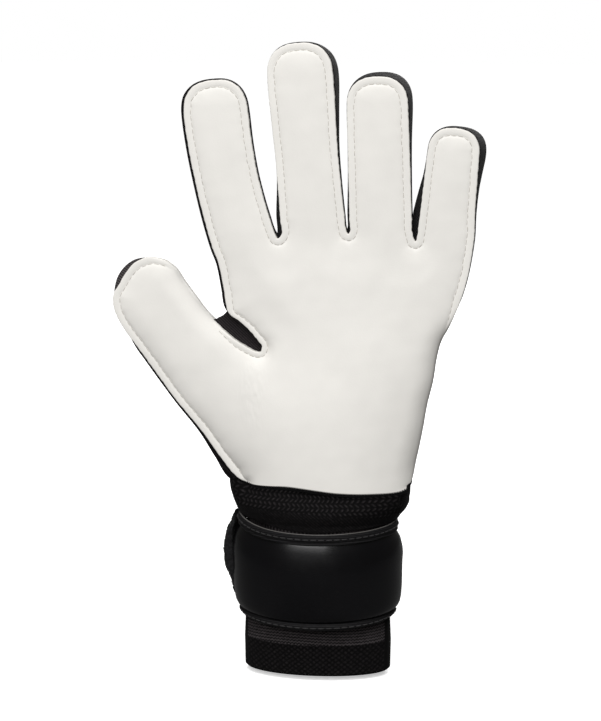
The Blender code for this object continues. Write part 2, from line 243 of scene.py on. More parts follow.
class Digit:
    """A finger or thumb, placed by its two joints."""

    def __init__(self, name):
        self.name = name
        base, middle = JOINTS[f"{name}_base_bend"], JOINTS[f"{name}_middle_bend"]
        self.base = np.array((base["pos_m"][0], base["pos_m"][2])) / MM
        self.middle = np.array((middle["pos_m"][0], middle["pos_m"][2])) / MM
        self.side = np.array((base["axis"][0], base["axis"][2]))
        self.along = np.array((-self.side[1], self.side[0]))
        upper_side = np.array((middle["axis"][0], middle["axis"][2]))
        self.along_upper = np.array((-upper_side[1], upper_side[0]))
        mesh = frame["nodes"][f"{name}_latex_upper"].data
        corners = np.array([(v.co.x, v.co.z) for v in mesh.vertices]) / MM
        reach = ((corners - self.middle) @ self.along_upper).max()
        self.first = float(np.linalg.norm(self.middle - self.base))
        self.length = self.first + float(reach)
        self.start, self.end = BASE_LINE, 0.42 * self.first
        self.skew = 0.0
        self.middle_blend = 0.28 * self.first
        self.split = (self.end + self.first - self.middle_blend) / 2

    def place(self, along, across):
        return self.base + self.along * along + self.side * across

    def blend(self, piece, half):
        """Work out where a piece would bend across the digit's base joint (lower half) or its
        middle joint, then only bake its transform; no bend is applied.
        """
        if half == "lower":
            reach = self.end - self.start
            slope = np.array((self.along[0], -self.skew, self.along[1])) / reach
            first = self.place(self.start, 0.0)
            begin = np.array((first[0], -FRONT_SEAM if self.skew else 0.0, first[1]))
            finish = begin + slope / (slope @ slope)
        else:
            step = np.array((self.along_upper[0], 0.0, self.along_upper[1])) * self.middle_blend
            middle = np.array((self.middle[0], 0.0, self.middle[1]))
            begin, finish = middle - step, middle + step
        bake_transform(piece)


class Finger(Digit):
    def __init__(self, name):
        super().__init__(name)
        self.shape = FINGER_SHAPES[name]
        lower = math.atan2(self.along[0], self.along[1])
        upper = math.atan2(self.along_upper[0], self.along_upper[1])
        self.turn = 2 * (upper - lower)
        self.lean = lower - self.turn * self.first / (2 * self.length)

    def spine(self, t):
        """The finger's middle line at t along it, which bends evenly, and its side there."""
        place = self.base.copy()
        steps = 24
        for i in range(steps):
            lean = self.lean + self.turn * (i + 0.5) / steps * t / self.length
            place = place + np.array((math.sin(lean), math.cos(lean))) * t / steps
        lean = self.lean + self.turn * t / self.length
        return place, np.array((math.cos(lean), -math.sin(lean)))

    def half(self, t):
        base, middle, end = self.shape["half"]
        if t < self.first:
            return lerp(base, middle, float(smooth(t / self.first)))
        beyond = (t - self.first) / (self.length - self.first)
        return lerp(middle, end, float(smooth(beyond * 1.6)))

    def edge(self, t, sign, back):
        """A point of the finger's edge, on its right (sign 1) or left (-1)."""
        place, side = self.spine(t)
        half = self.half(t)
        if back and sign > 0:
            half += lerp(*self.shape["back"][2:4], float(smooth(t / self.length)) ** 1.3)
        elif back:
            half += lerp(*self.shape["back"][:2], float(smooth((t - 5.0) / 38.0)))
        return place + side * sign * half

    def outline(self, back):
        """Points from the base on the right, over the tip, to the base on the left."""
        rise = self.shape["back"][4] if back else 0.0
        shoulder = self.length - self.shape["round"] + rise
        stops = [BASE_LINE, 8.0, self.split, self.first, lerp(self.first, shoulder, 0.5)]
        points = [self.edge(t, 1, back) for t in stops]
        _, side = self.spine(shoulder)
        ahead = np.array((-side[1], side[0]))
        right, left = self.edge(shoulder, 1, back), self.edge(shoulder, -1, back)
        middle = (right + left) / 2
        half = np.linalg.norm(right - left) / 2
        for turn in range(0, 181, 15):
            cosine = math.cos(math.radians(turn))
            sine = max(math.sin(math.radians(turn)), 0.0)
            across = math.copysign(abs(cosine) ** (2 / TIP_POWER), cosine) * half
            ahead_by = sine ** (2 / TIP_POWER) * self.shape["round"]
            points.append(middle + side * across + ahead * ahead_by)
        points += [self.edge(t, -1, back) for t in stops[::-1]]
        return points


FINGERS = [Finger(name) for name in FINGER_NAMES]
THUMB = Digit("thumb")
THUMB.start, THUMB.end, THUMB.split, THUMB.skew = THUMB_START, THUMB_END, THUMB_SPLIT, THUMB_SKEW
THUMB.middle_blend = THUMB_MIDDLE_REACH
DIGITS = {digit.name: digit for digit in (*FINGERS, THUMB)}


def build_outline(back):
    """Control points (x, z, flange, edge height, peek) of the front's or back's outline.

    It runs anticlockwise as seen from the palm, from the hem's right end. peek is how far the
    dark wall shows beyond the latex. marks gives the control points on each digit's lines.
    """
    points, fine, marks = [], [], {}

    def add(place, flange=FLANGE, height=CUT_EDGE, peek=0.2, close=False):
        points.append((place[0], place[1], flange, height, peek))
        fine.append(close)
        return len(points) - 1

    add((HEM[0][0] - 2.2, HEM[0][1]) if back else HEM[0], ROLLED, HEM_EDGE, -1.2)
    for x, z in PALM_RIGHT[::-1]:
        rolled = float(smooth((ROLL_TOP - z) / ROLL_SPAN))
        inset = lerp(*BACK_INSET, rolled) if back else 0.0
        add((x - inset, z), lerp(FLANGE, ROLLED, rolled), lerp(CUT_EDGE, ROLLED_EDGE, rolled),
            lerp(0.2, -1.3, rolled))
    for i, finger in enumerate(FINGERS[::-1]):
        edge = finger.outline(back)
        first = len(points)
        left_peek = SIDE_PEEK if finger.name == "index" else PEEK
        for j, place in enumerate(edge):
            near_web = j in (0, 1, len(edge) - 2, len(edge) - 1)
            on_left = min(max((j - len(edge) + 12) / 4, 0.0), 1.0)
            add(place, peek=lerp(PEEK, left_peek, on_left), close=near_web)
        marks[finger.name, "base"] = (first, len(points) - 1)
        marks[finger.name, "split"] = (first + 2, len(points) - 3)
        if i < 3:
            add((BACK_WEBS if back else WEBS)[finger.name], close=True)
    for x, z in PALM_LEFT:
        add((x - 1.2 if back else x, z), peek=SIDE_PEEK)
    slit = BACK_SLIT if back else (*SLIT_UPPER, *SLIT_END)
    marks["corner"] = (len(points) + 1,) * 2
    for i, place in enumerate(slit):
        add(place, SLIT_FLANGE, 2.8, 0.2 if i > 1 else 0.9, close=i > 2)
    if back:
        inner = add((-38.8, 151.9), SLIT_FLANGE, peek=0.2)
    else:
        inner = add(THUMB.place(*THUMB_INNER[0]), SLIT_FLANGE, 3.4, 0.2)

    def thumb_point(along, across, flange=FLANGE, height=CUT_EDGE, peek=PEEK, shift=6.1):
        if back:
            share = float(smooth(along / 50.0))
            across -= math.copysign(1.0 - share, across) + shift * share
            along += 0.5 * share
        return add(THUMB.place(along, across), flange, height, peek)

    for i, (along, across) in enumerate(THUMB_INNER[1:]):
        flange, height = (ROLLED, ROLLED_EDGE) if i > 0 else (1.9, 3.6)
        where = thumb_point(along, across, flange, height, -0.8)
        if along == THUMB_SPLIT:
            split_inner = where
    for i, (along, across) in enumerate(THUMB_TIP):
        flange = (1.2, 2.2, 3.0)[i] if i < 3 else FLANGE
        thumb_point(along, across, flange, lerp(ROLLED_EDGE, CUT_EDGE, min(i / 2, 1.0)),
                    THUMB_TIP_PEEK[i], THUMB_TIP_BACK[i])
    for along, across, peek, shift in THUMB_OUTER:
        where = thumb_point(along, across, peek=peek, shift=shift)
        if along == THUMB_SPLIT:
            split_outer = where
    marks["thumb", "base"] = (inner, where)
    marks["thumb", "split"] = (split_inner, split_outer)
    for (x, z), peek in zip(THENAR, (1.8, 2.6, 3.3)):
        add((x + 0.6, z + 1.0) if back else (x, z), peek=peek)
    for x, z in HEM[:0:-1]:
        add((x, z), ROLLED, HEM_EDGE, 0.2)
    return points, fine, marks


class Outline:
    """A sampled outline: its points, inward normals and the values carried along it."""

    def __init__(self, back, counts=None):
        control, fine, marks = build_outline(back)
        control = np.array(control)
        if counts is None:
            gaps = np.linalg.norm(np.roll(control, -1, 0)[:, :2] - control[:, :2], axis=1)
            steps = np.array([FINE_STEP if fine[i] and fine[(i + 1) % len(fine)] else STEP
                              for i in range(len(fine))])
            counts = np.maximum(np.ceil(gaps / steps).astype(int), 2)
        self.counts = counts
        starts = np.concatenate([[0], np.cumsum(counts)[:-1]])
        self.marks = {key: tuple(int(starts[i]) for i in pair) for key, pair in marks.items()}
        corner = self.marks.pop("corner")[0]
        sampled = catmull(control, counts)
        self.points = sampled[:, :2]
        self.flange, self.height, self.peek = sampled[:, 2:].T
        stray = 0.16 * waves(self.points, 7.0, 14, 2) * smooth((self.flange - 1.6) / 0.8)
        self.flange = np.maximum(self.flange + stray, 0.4)
        self.rolled = 1 - smooth((self.flange - ROLLED) / 1.4)
        self.normals = inward_normals(self.points)
        size = len(self.points)
        self.hem = (int(starts[len(control) - len(HEM) + 1]), size)
        index = np.arange(size)
        away = np.minimum(np.abs(index - self.hem[0]), np.minimum(index, size - index))
        away = np.where(index >= self.hem[0], 0, away)
        self.at_hem = 1 - smooth(away / 6.0)
        self.roll = self.eased(self.rolled * (1 - self.at_hem))
        self.along = running_length(closed_loop(self.points))[:-1]
        if not back:
            self.ease_corner(corner)

    def ease_corner(self, corner, reach=7.0):
        """Turn the normals evenly round a corner, so that lines inside it don't cross."""
        away = self.along - self.along[corner]
        near = np.flatnonzero(np.abs(away) < reach)
        turn = np.arctan2(self.normals[near, 1], self.normals[near, 0])
        share = (away[near] + reach) / (2 * reach)
        turn = lerp(turn[0], turn[-1], share)
        self.normals[near] = np.stack([np.cos(turn), np.sin(turn)], 1)

    @staticmethod
    def eased(values, reach=9):
        """Values averaged along the outline."""
        kernel = np.hanning(2 * reach + 3)[1:-1]
        kernel /= kernel.sum()
        size = len(kernel) // 2
        return np.convolve(np.concatenate([values[-size:], values, values[:size]]), kernel, "valid")

    def offset(self, distance):
        return self.points + self.normals * np.asarray(distance).reshape(-1, 1)

    def seam_gap(self, points):
        """Distance past the seam of plan points inside, where the hem holds nothing down."""
        seam = self.offset(self.flange)
        last = self.hem[0]
        gap, _ = nearest(points, seam[:last], seam[1:last + 1])
        edge, place = nearest_on_loop(points, self.points)
        outside = (edge < self.flange[place]) & (place < last)
        return np.where(outside, 0.0, gap)

    def region(self, column):
        """The body-naming part of the glove that a column between samples belongs to."""
        for name in DIGITS:
            first, last = self.marks[name, "base"]
            if first <= column < last:
                low, high = self.marks[name, "split"]
                return f"{name}_upper" if low <= column < high else f"{name}_lower"
        return "hand"


# ---------------------------------------------------------------- the membrane

class Membrane:
    """Height of a membrane held at the seam, free at the hem, under even pressure.

    It is solved on a square grid over the plan. Its slope at the seam is kept apart, so that
    the grid's steps don't show in the height near the seam.
    """

    def __init__(self, outline):
        self.low = outline.points.min(0) - 4 * GRID
        high = outline.points.max(0) + 4 * GRID
        columns, rows = np.ceil((high - self.low) / GRID).astype(int) + 1
        xs = self.low[0] + np.arange(columns) * GRID
        zs = self.low[1] + np.arange(rows) * GRID
        points = np.stack(np.meshgrid(xs, zs), -1).reshape(-1, 2)
        inside = in_polygon(points, outline.points)
        edge, place = nearest_on_loop(points, outline.points)
        by_hem = place >= outline.hem[0]
        gap = np.where(inside, edge - np.where(by_hem, 0.0, outline.flange[place]), -1.0)
        shape = (rows, columns)
        domain = (gap > 0.0).reshape(shape)
        below = (~inside & by_hem & (edge < 3 * GRID)).reshape(shape)
        self.height = self.solve(domain, below)
        seam = np.zeros(len(points))
        seam[inside] = outline.seam_gap(points[inside])
        self.slope = self.spread(self.height, seam.reshape(shape))

    @staticmethod
    def solve(domain, below, sweeps=420):
        """Over-relaxed sweeps on the even and odd cells of the grid in turn."""
        height = np.zeros(domain.shape)
        rows, columns = np.indices(domain.shape)
        inner = np.zeros_like(domain)
        inner[1:-1, 1:-1] = domain[1:-1, 1:-1]
        relax = 2 / (1 + math.sin(math.pi / max(domain.shape)))
        colours = [inner & ((rows + columns) % 2 == k) for k in (0, 1)]
        for _ in range(sweeps):
            for cells in colours:
                total = np.zeros_like(height)
                total[1:-1, 1:-1] = (height[:-2, 1:-1] + height[2:, 1:-1]
                                     + height[1:-1, :-2] + height[1:-1, 2:])
                height[cells] += relax * ((total[cells] + GRID ** 2) / 4 - height[cells])
            height[below] = np.roll(height, -1, 0)[below]
        return height

    @staticmethod
    def spread(height, gap):
        """Height over distance to the seam, carried smoothly out to the seam itself."""
        known = gap > 2.4
        value = np.where(known, height / np.maximum(gap, 1.0), 0.0)
        weight = known.astype(float)
        for _ in range(8):
            total, count = np.zeros_like(value), np.zeros_like(value)
            for axis, shift in ((0, 1), (0, -1), (1, 1), (1, -1)):
                total += np.roll(value * weight, shift, axis)
                count += np.roll(weight, shift, axis)
            new = (weight == 0) & (count > 0)
            value[new] = total[new] / count[new]
            weight[new] = 1.0
        return value

    def sample(self, grid, points):
        spot = (points - self.low) / GRID
        cell = np.clip(np.floor(spot).astype(int), 0, np.array(grid.shape)[::-1] - 2)
        fx, fz = (spot - cell).T
        x, z = cell.T
        return ((grid[z, x] * (1 - fx) + grid[z, x + 1] * fx) * (1 - fz)
                + (grid[z + 1, x] * (1 - fx) + grid[z + 1, x + 1] * fx) * fz)

    def at(self, points, gap):
        """Height at plan points whose distance to the seam is gap."""
        near = self.sample(self.slope, points) * gap
        far = self.sample(self.height, points)
        return np.maximum(lerp(near, far, smooth((gap - 2.5) / 3.0)), 0.0)


# ---------------------------------------------------------------- materials

WAVE_REPEAT = 0.314       # a wave texture of scale 1 has a ridge every so many units
CREASES_AT, CREASES_REACH = (-25.5, -17.0, 125.0), (6.5, 30.0, 20.0)


def new_material(name, colour, roughness, specular=0.5, sheen=0.0):
    """A Principled material; its texture nodes are added by the functions that follow."""
    material = bpy.data.materials.new(name)
    material.use_nodes = True
    shader = material.node_tree.nodes["Principled BSDF"]
    shader.inputs["Base Color"].default_value = (*colour, 1.0)
    shader.inputs["Roughness"].default_value = roughness
    shader.inputs["Specular IOR Level"].default_value = specular
    shader.inputs["Sheen Weight"].default_value = sheen
    shader.inputs["Sheen Roughness"].default_value = 0.4
    return material


class Nodes:
    """Adds texture nodes in object coordinates, in metres, to one material."""

    def __init__(self, material):
        self.tree = material.node_tree
        self.shader = self.tree.nodes["Principled BSDF"]
        self.place = self.node("TexCoord").outputs["Object"]
        self.normal = None

    def node(self, kind, **inputs):
        """A new node whose inputs are linked to other nodes' outputs or set to values."""
        made = self.tree.nodes.new("ShaderNode" + kind)
        for name, value in inputs.items():
            if isinstance(value, bpy.types.NodeSocket):
                self.tree.links.new(value, made.inputs[name])
            else:
                made.inputs[name].default_value = value
        return made

    def mapped(self, **inputs):
        return self.node("Mapping", Vector=self.place, **inputs).outputs["Vector"]

    def noise(self, size, detail=3.0, rough=0.55, scale=(1.0, 1.0, 1.0)):
        """Noise whose features are about size millimetres across."""
        return self.node("TexNoise", Vector=self.mapped(Scale=scale), Scale=1 / (size * MM),
                         Detail=detail, Roughness=rough).outputs["Fac"]

    def cells(self, size):
        """Distance to the middle of cells about size millimetres across."""
        node = self.node("TexVoronoi", Vector=self.mapped(), Scale=1 / (size * MM))
        return node.outputs["Distance"]

    def patch(self, centre, reach):
        """1 at a point in millimetres, falling to 0 at an ellipsoid round it."""
        scale = tuple(1 / (r * MM) for r in reach)
        shift = tuple(-c / r for c, r in zip(centre, reach))
        node = self.node("TexGradient", Vector=self.mapped(Scale=scale, Location=shift))
        node.gradient_type = "SPHERICAL"
        return node.outputs["Fac"]

    def wave(self, pitch, direction="Z", distortion=0.0, turn=0.0):
        """Ribs with one ridge every pitch millimetres."""
        node = self.node("TexWave", Vector=self.mapped(Rotation=(0.0, turn, 0.0)),
                         Scale=WAVE_REPEAT / (pitch * MM), Distortion=distortion, Detail=1.0)
        node.bands_direction = direction
        return node.outputs["Fac"]

    def product(self, a, b):
        node = self.node("Math")
        node.operation = "MULTIPLY"
        for factor, socket in zip((a, b), node.inputs):
            self.tree.links.new(factor, socket)
        return node.outputs[0]

    def ramp(self, factor, stops):
        node = self.node("ValToRGB", Fac=factor)
        for element, (place, colour) in zip(node.color_ramp.elements, stops):
            if not isinstance(colour, tuple):
                colour = (colour,) * 3
            element.position = place
            element.color = (*colour, 1.0)
        return node.outputs["Color"]

    def colour(self, factor, low, high):
        """Set the colour from factor. low and high are stops of a ramp, (place, colour)."""
        self.tree.links.new(self.ramp(factor, (low, high)), self.shader.inputs["Base Color"])

    def roughness(self, factor, low, high):
        stops = (0.3, low), (0.7, high)
        self.tree.links.new(self.ramp(factor, stops), self.shader.inputs["Roughness"])

    def bump(self, height, depth, strength=1.0):
        """Add a layer of bump, depth millimetres from low to high."""
        below = {"Normal": self.normal} if self.normal else {}
        node = self.node("Bump", Height=height, Distance=depth * MM, Strength=strength, **below)
        self.normal = node.outputs["Normal"]
        self.tree.links.new(self.normal, self.shader.inputs["Normal"])


def shade(colour, factor):
    return tuple(channel * factor for channel in colour)


def make_latex():
    """Fine foam with an uneven tone, and creases in the palm at the thumb's base."""
    colour = (0.815, 0.795, 0.755)
    material = new_material("latex_foam_white", colour, 0.62, 0.3, 0.06)
    nodes = Nodes(material)
    blotch = nodes.noise(26.0, 3.0)
    nodes.colour(blotch, (0.30, shade(colour, 0.955)), (0.72, shade(colour, 1.02)))
    nodes.roughness(nodes.noise(5.0), 0.56, 0.70)
    nodes.bump(nodes.noise(7.0, 3.0), 0.07, 0.5)
    nodes.bump(nodes.noise(0.55, 2.0), 0.045, 0.6)
    nodes.bump(nodes.ramp(nodes.cells(0.75), ((0.02, 0.0), (0.16, 1.0))), 0.03, 0.5)
    near = nodes.ramp(nodes.patch(CREASES_AT, CREASES_REACH), ((0.0, 0.0), (0.5, 1.0)))
    creases = nodes.noise(1.9, 1.0, 0.4, (1.0, 1.0, 0.42))
    nodes.bump(nodes.product(creases, near), 0.32, 0.8)
    return material


def make_cut_edge():
    colour = (0.70, 0.68, 0.64)
    material = new_material("latex_cut_edge", colour, 0.9, 0.2)
    nodes = Nodes(material)
    nodes.colour(nodes.noise(1.2), (0.3, shade(colour, 0.86)), (0.7, colour))
    nodes.bump(nodes.noise(0.6, 4.0, 0.7), 0.25)
    return material


def make_dark(name, colour, roughness, pitch, direction="Z", turn=0.0, depth=0.25, sheen=0.02):
    """A dark ribbed or woven fabric, painted lighter on its ribs' ridges and darker in their
    hollows.
    """
    material = new_material(name, colour, roughness, 0.08, sheen)
    nodes = Nodes(material)
    ribs = nodes.wave(pitch, direction, 0.6, turn)
    rib_shade_and_mottle = nodes.product(nodes.noise(0.9), ribs)
    # The colour paints light on the ribs' ridges and shade in their hollows, mixed with random
    # mottling.
    nodes.colour(rib_shade_and_mottle, (0.05, shade(colour, 0.55)), (0.5, shade(colour, 1.5)))
    nodes.roughness(nodes.noise(3.0), roughness - 0.06, roughness + 0.05)
    nodes.bump(ribs, depth)
    nodes.bump(nodes.noise(0.5), 0.08)
    return material


def make_knit():
    """Yarn coloured from the mesh's weave values: painted highlights on its raised parts, painted
    shade in its hollows.
    """
    colour = (0.0100, 0.0088, 0.0092)
    material = new_material("elastic_knit_black", colour, 0.82, 0.08, 0.02)
    nodes = Nodes(material)
    # The weave values paint light and shade: lit on raised yarn, dark in hollows, on plain strips,
    # at the rim and on the lining.
    weave = nodes.node("Attribute")
    weave.attribute_name = "weave"
    uneven = nodes.product(weave.outputs["Fac"], nodes.noise(0.9, 2.0))
    nodes.colour(uneven, (0.08, shade(colour, 0.2)), (0.66, shade(colour, 6.2)))
    nodes.bump(nodes.noise(0.45, 3.0, 0.7), 0.06)
    return material


def make_back():
    colour = (0.0120, 0.0118, 0.0128)
    material = new_material("backhand_black", colour, 0.5, 0.12, 0.0)
    nodes = Nodes(material)
    nodes.colour(nodes.noise(9.0), (0.3, shade(colour, 0.8)), (0.7, shade(colour, 1.25)))
    nodes.roughness(nodes.noise(4.0), 0.44, 0.58)
    nodes.bump(nodes.wave(1.1, "X", 0.3), 0.05)
    nodes.bump(nodes.wave(1.1, "Z", 0.3), 0.05)
    nodes.bump(nodes.noise(0.6), 0.05)
    return material


def make_strap():
    colour = (0.0016, 0.0015, 0.0021)
    material = new_material("strap_satin_black", colour, 0.23, 0.31)
    nodes = Nodes(material)
    nodes.colour(nodes.noise(14.0), (0.3, shade(colour, 0.85)), (0.7, shade(colour, 1.2)))
    nodes.roughness(nodes.noise(6.0), 0.22, 0.26)
    nodes.bump(nodes.noise(0.8, 3.0), 0.008)
    return material


def make_fuzz():
    colour = (0.0105, 0.0105, 0.0110)
    material = new_material("hook_and_loop_black", colour, 0.95, 0.08, 0.04)
    nodes = Nodes(material)
    tufts = nodes.noise(0.8, 4.0, 0.7)
    nodes.colour(tufts, (0.3, shade(colour, 0.4)), (0.7, shade(colour, 2.2)))
    nodes.bump(nodes.noise(0.5, 4.0, 0.8), 0.35)
    return material


def make_thread(name, colour):
    material = new_material(name, colour, 0.7, 0.3, 0.1)
    nodes = Nodes(material)
    nodes.colour(nodes.noise(0.7), (0.3, shade(colour, 0.8)), (0.7, shade(colour, 1.1)))
    nodes.bump(nodes.wave(0.35, "DIAGONAL"), 0.06)
    return material


MATERIALS = {
    "latex": make_latex(),
    "edge": make_cut_edge(),
    "wall": make_dark("gusset_mesh_black", (0.0085, 0.0075, 0.0080), 0.85, 0.95, "DIAGONAL",
                      sheen=0.03),
    # lens is a lighter copy of the black wall mesh for the thumb's tip, painting the light it gets
    # where it faces up.
    "lens": make_dark("thumb_mesh_grey", (0.0560, 0.0500, 0.0510), 0.85, 0.7, "DIAGONAL"),
    "web": make_dark("web_mesh_black", (0.0210, 0.0180, 0.0190), 0.85, 0.9, "X", turn=0.82,
                     sheen=0.05),
    "back": make_back(),
    "knit": make_knit(),
    "tape": make_dark("woven_tape_black", (0.0085, 0.0082, 0.0088), 0.62, 0.8, "Z", depth=0.12),
    "lining": make_dark("lining_grey", (0.035, 0.035, 0.037), 0.95, 1.2, "X", depth=0.15),
    "strap": make_strap(),
    # A light grey tube along the strap's top edge is a painted glint of the black binding's edge.
    "glint": new_material("strap_edge_piping", (0.11, 0.105, 0.10), 0.35, 0.5),
    "fuzz": make_fuzz(),
    "thread": make_thread("thread_beige", (0.56, 0.535, 0.485)),
    "dark_thread": make_thread("thread_black", (0.024, 0.023, 0.024)),
}

# ---------------------------------------------------------------- making pieces


def make_object(name, verts, faces, stuff, normals=None, extra=None, extra_faces=(), weave=None):
    """A smooth mesh piece from points in millimetres. extra is a second material's name."""
    mesh = bpy.data.meshes.new(name)
    mesh.from_pydata((np.asarray(verts, float) * MM).tolist(), [], list(faces))
    mesh.materials.append(MATERIALS[stuff])
    if extra:
        mesh.materials.append(MATERIALS[extra])
        chosen = np.zeros(len(mesh.polygons), int)
        chosen[list(extra_faces)] = 1
        mesh.polygons.foreach_set("material_index", chosen)
    mesh.shade_smooth()
    # weave holds painted light and shade for each point, which the knit's colour reads.
    if weave is not None:
        weave_shade = mesh.attributes.new("weave", "FLOAT", "POINT")
        weave_shade.data.foreach_set("value", np.asarray(weave, np.float32).ravel())
    if normals is not None:
        mesh.normals_split_custom_set_from_vertices(np.asarray(normals).tolist())
    mesh.update()
    piece = bpy.data.objects.new(name, mesh)
    bpy.context.scene.collection.objects.link(piece)
    return piece


def grid_faces(rows, columns, closed=True):
    faces = []
    for k in range(rows - 1):
        for i in range(columns if closed else columns - 1):
            j = (i + 1) % columns
            faces.append((k * columns + i, k * columns + j,
                          (k + 1) * columns + j, (k + 1) * columns + i))
    return faces


def grid_piece(name, rows, stuff, closed=False, weave=None):
    """A piece whose points lie in rows. closed joins the two ends of each row."""
    faces = grid_faces(*rows.shape[:2], closed)
    return make_object(name, rows.reshape(-1, 3), faces, stuff, weave=weave)


def vertex_normals(verts, faces):
    mesh = bpy.data.meshes.new("whole")
    mesh.from_pydata((np.asarray(verts, float) * MM).tolist(), [], list(faces))
    mesh.update()
    normals = np.zeros(len(mesh.vertices) * 3)
    mesh.vertex_normals.foreach_get("vector", normals)
    bpy.data.meshes.remove(mesh)
    return normals.reshape(-1, 3)


def attach(piece, region):
    """Ride on the root; a part of a digit goes to its digit's blend, which only bakes its
    transform.
    """
    if region == "hand":
        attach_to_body(piece, "root")
    else:
        name, half = region.split("_")
        DIGITS[name].blend(piece, half)


def make_regions(title, verts, faces, regions, stuff, nodes=None, extra=None, extra_faces=()):
    """One piece for each part of the glove, from a mesh whose faces name their parts.

    nodes gives the CAD nodes that the piece of a part stands for.
    """
    verts = np.asarray(verts, float)
    normals = vertex_normals(verts, faces)
    extra_faces = set(extra_faces)
    made = {}
    for region in dict.fromkeys(regions):
        chosen = [i for i, name in enumerate(regions) if name == region]
        used = sorted({v for i in chosen for v in faces[i]})
        index = {v: i for i, v in enumerate(used)}
        local = [tuple(index[v] for v in faces[i]) for i in chosen]
        marked = [k for k, i in enumerate(chosen) if i in extra_faces]
        piece = make_object(f"{region}_{title}", verts[used], local, stuff, normals[used],
                            extra, marked)
        attach(piece, region)
        if nodes:
            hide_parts(*nodes(region))
        made[region] = piece
    return made


# ---------------------------------------------------------------- front and back sheets

def ring_rows(outline, cut, groove):
    """(distance inside the outline, drop below the flange) of the rows from its edge inwards.

    cut is the height of the cut edge and groove the depth of the stitched groove.
    """
    rolled, flange = outline.rolled, outline.flange
    flat = (1 - rolled) * (1 - outline.at_hem)
    reach = lerp(1.0, 0.3, outline.at_hem)
    sink = groove * flat
    return [
        (lerp(1.0, 2.0, rolled) * reach, cut + 0.1),
        (lerp(0.10, 0.8, rolled), cut),
        (lerp(0.02, 0.12, rolled), cut * lerp(0.8, 0.78, rolled)),
        (0.0 * rolled, cut * 0.5),
        (lerp(0.02, 0.08, rolled), cut * lerp(0.16, 0.24, rolled)),
        (lerp(0.14, 0.28, rolled), cut * lerp(0.03, 0.10, rolled)),
        (flange * lerp(0.16, 0.68, rolled), cut * 0.05 * rolled),
        (flange * lerp(0.5, 0.80, rolled), cut * 0.03 * rolled),
        (flange - 0.60 * lerp(1.0, 0.14, rolled), 0.15 * sink + cut * 0.02 * rolled),
        (flange - 0.26 * lerp(1.0, 0.10, rolled), 0.7 * sink + cut * 0.01 * rolled),
        (flange, sink),
        (flange + 0.28 * reach, 0.8 * sink),
        (flange + 0.62 * reach, 0.3 * sink),
        (flange + 1.20 * reach, 0.04 * sink),
        (flange + 2.10 * reach, 0.0 * rolled),
        (flange + 3.20 * reach, 0.0 * rolled),
    ]


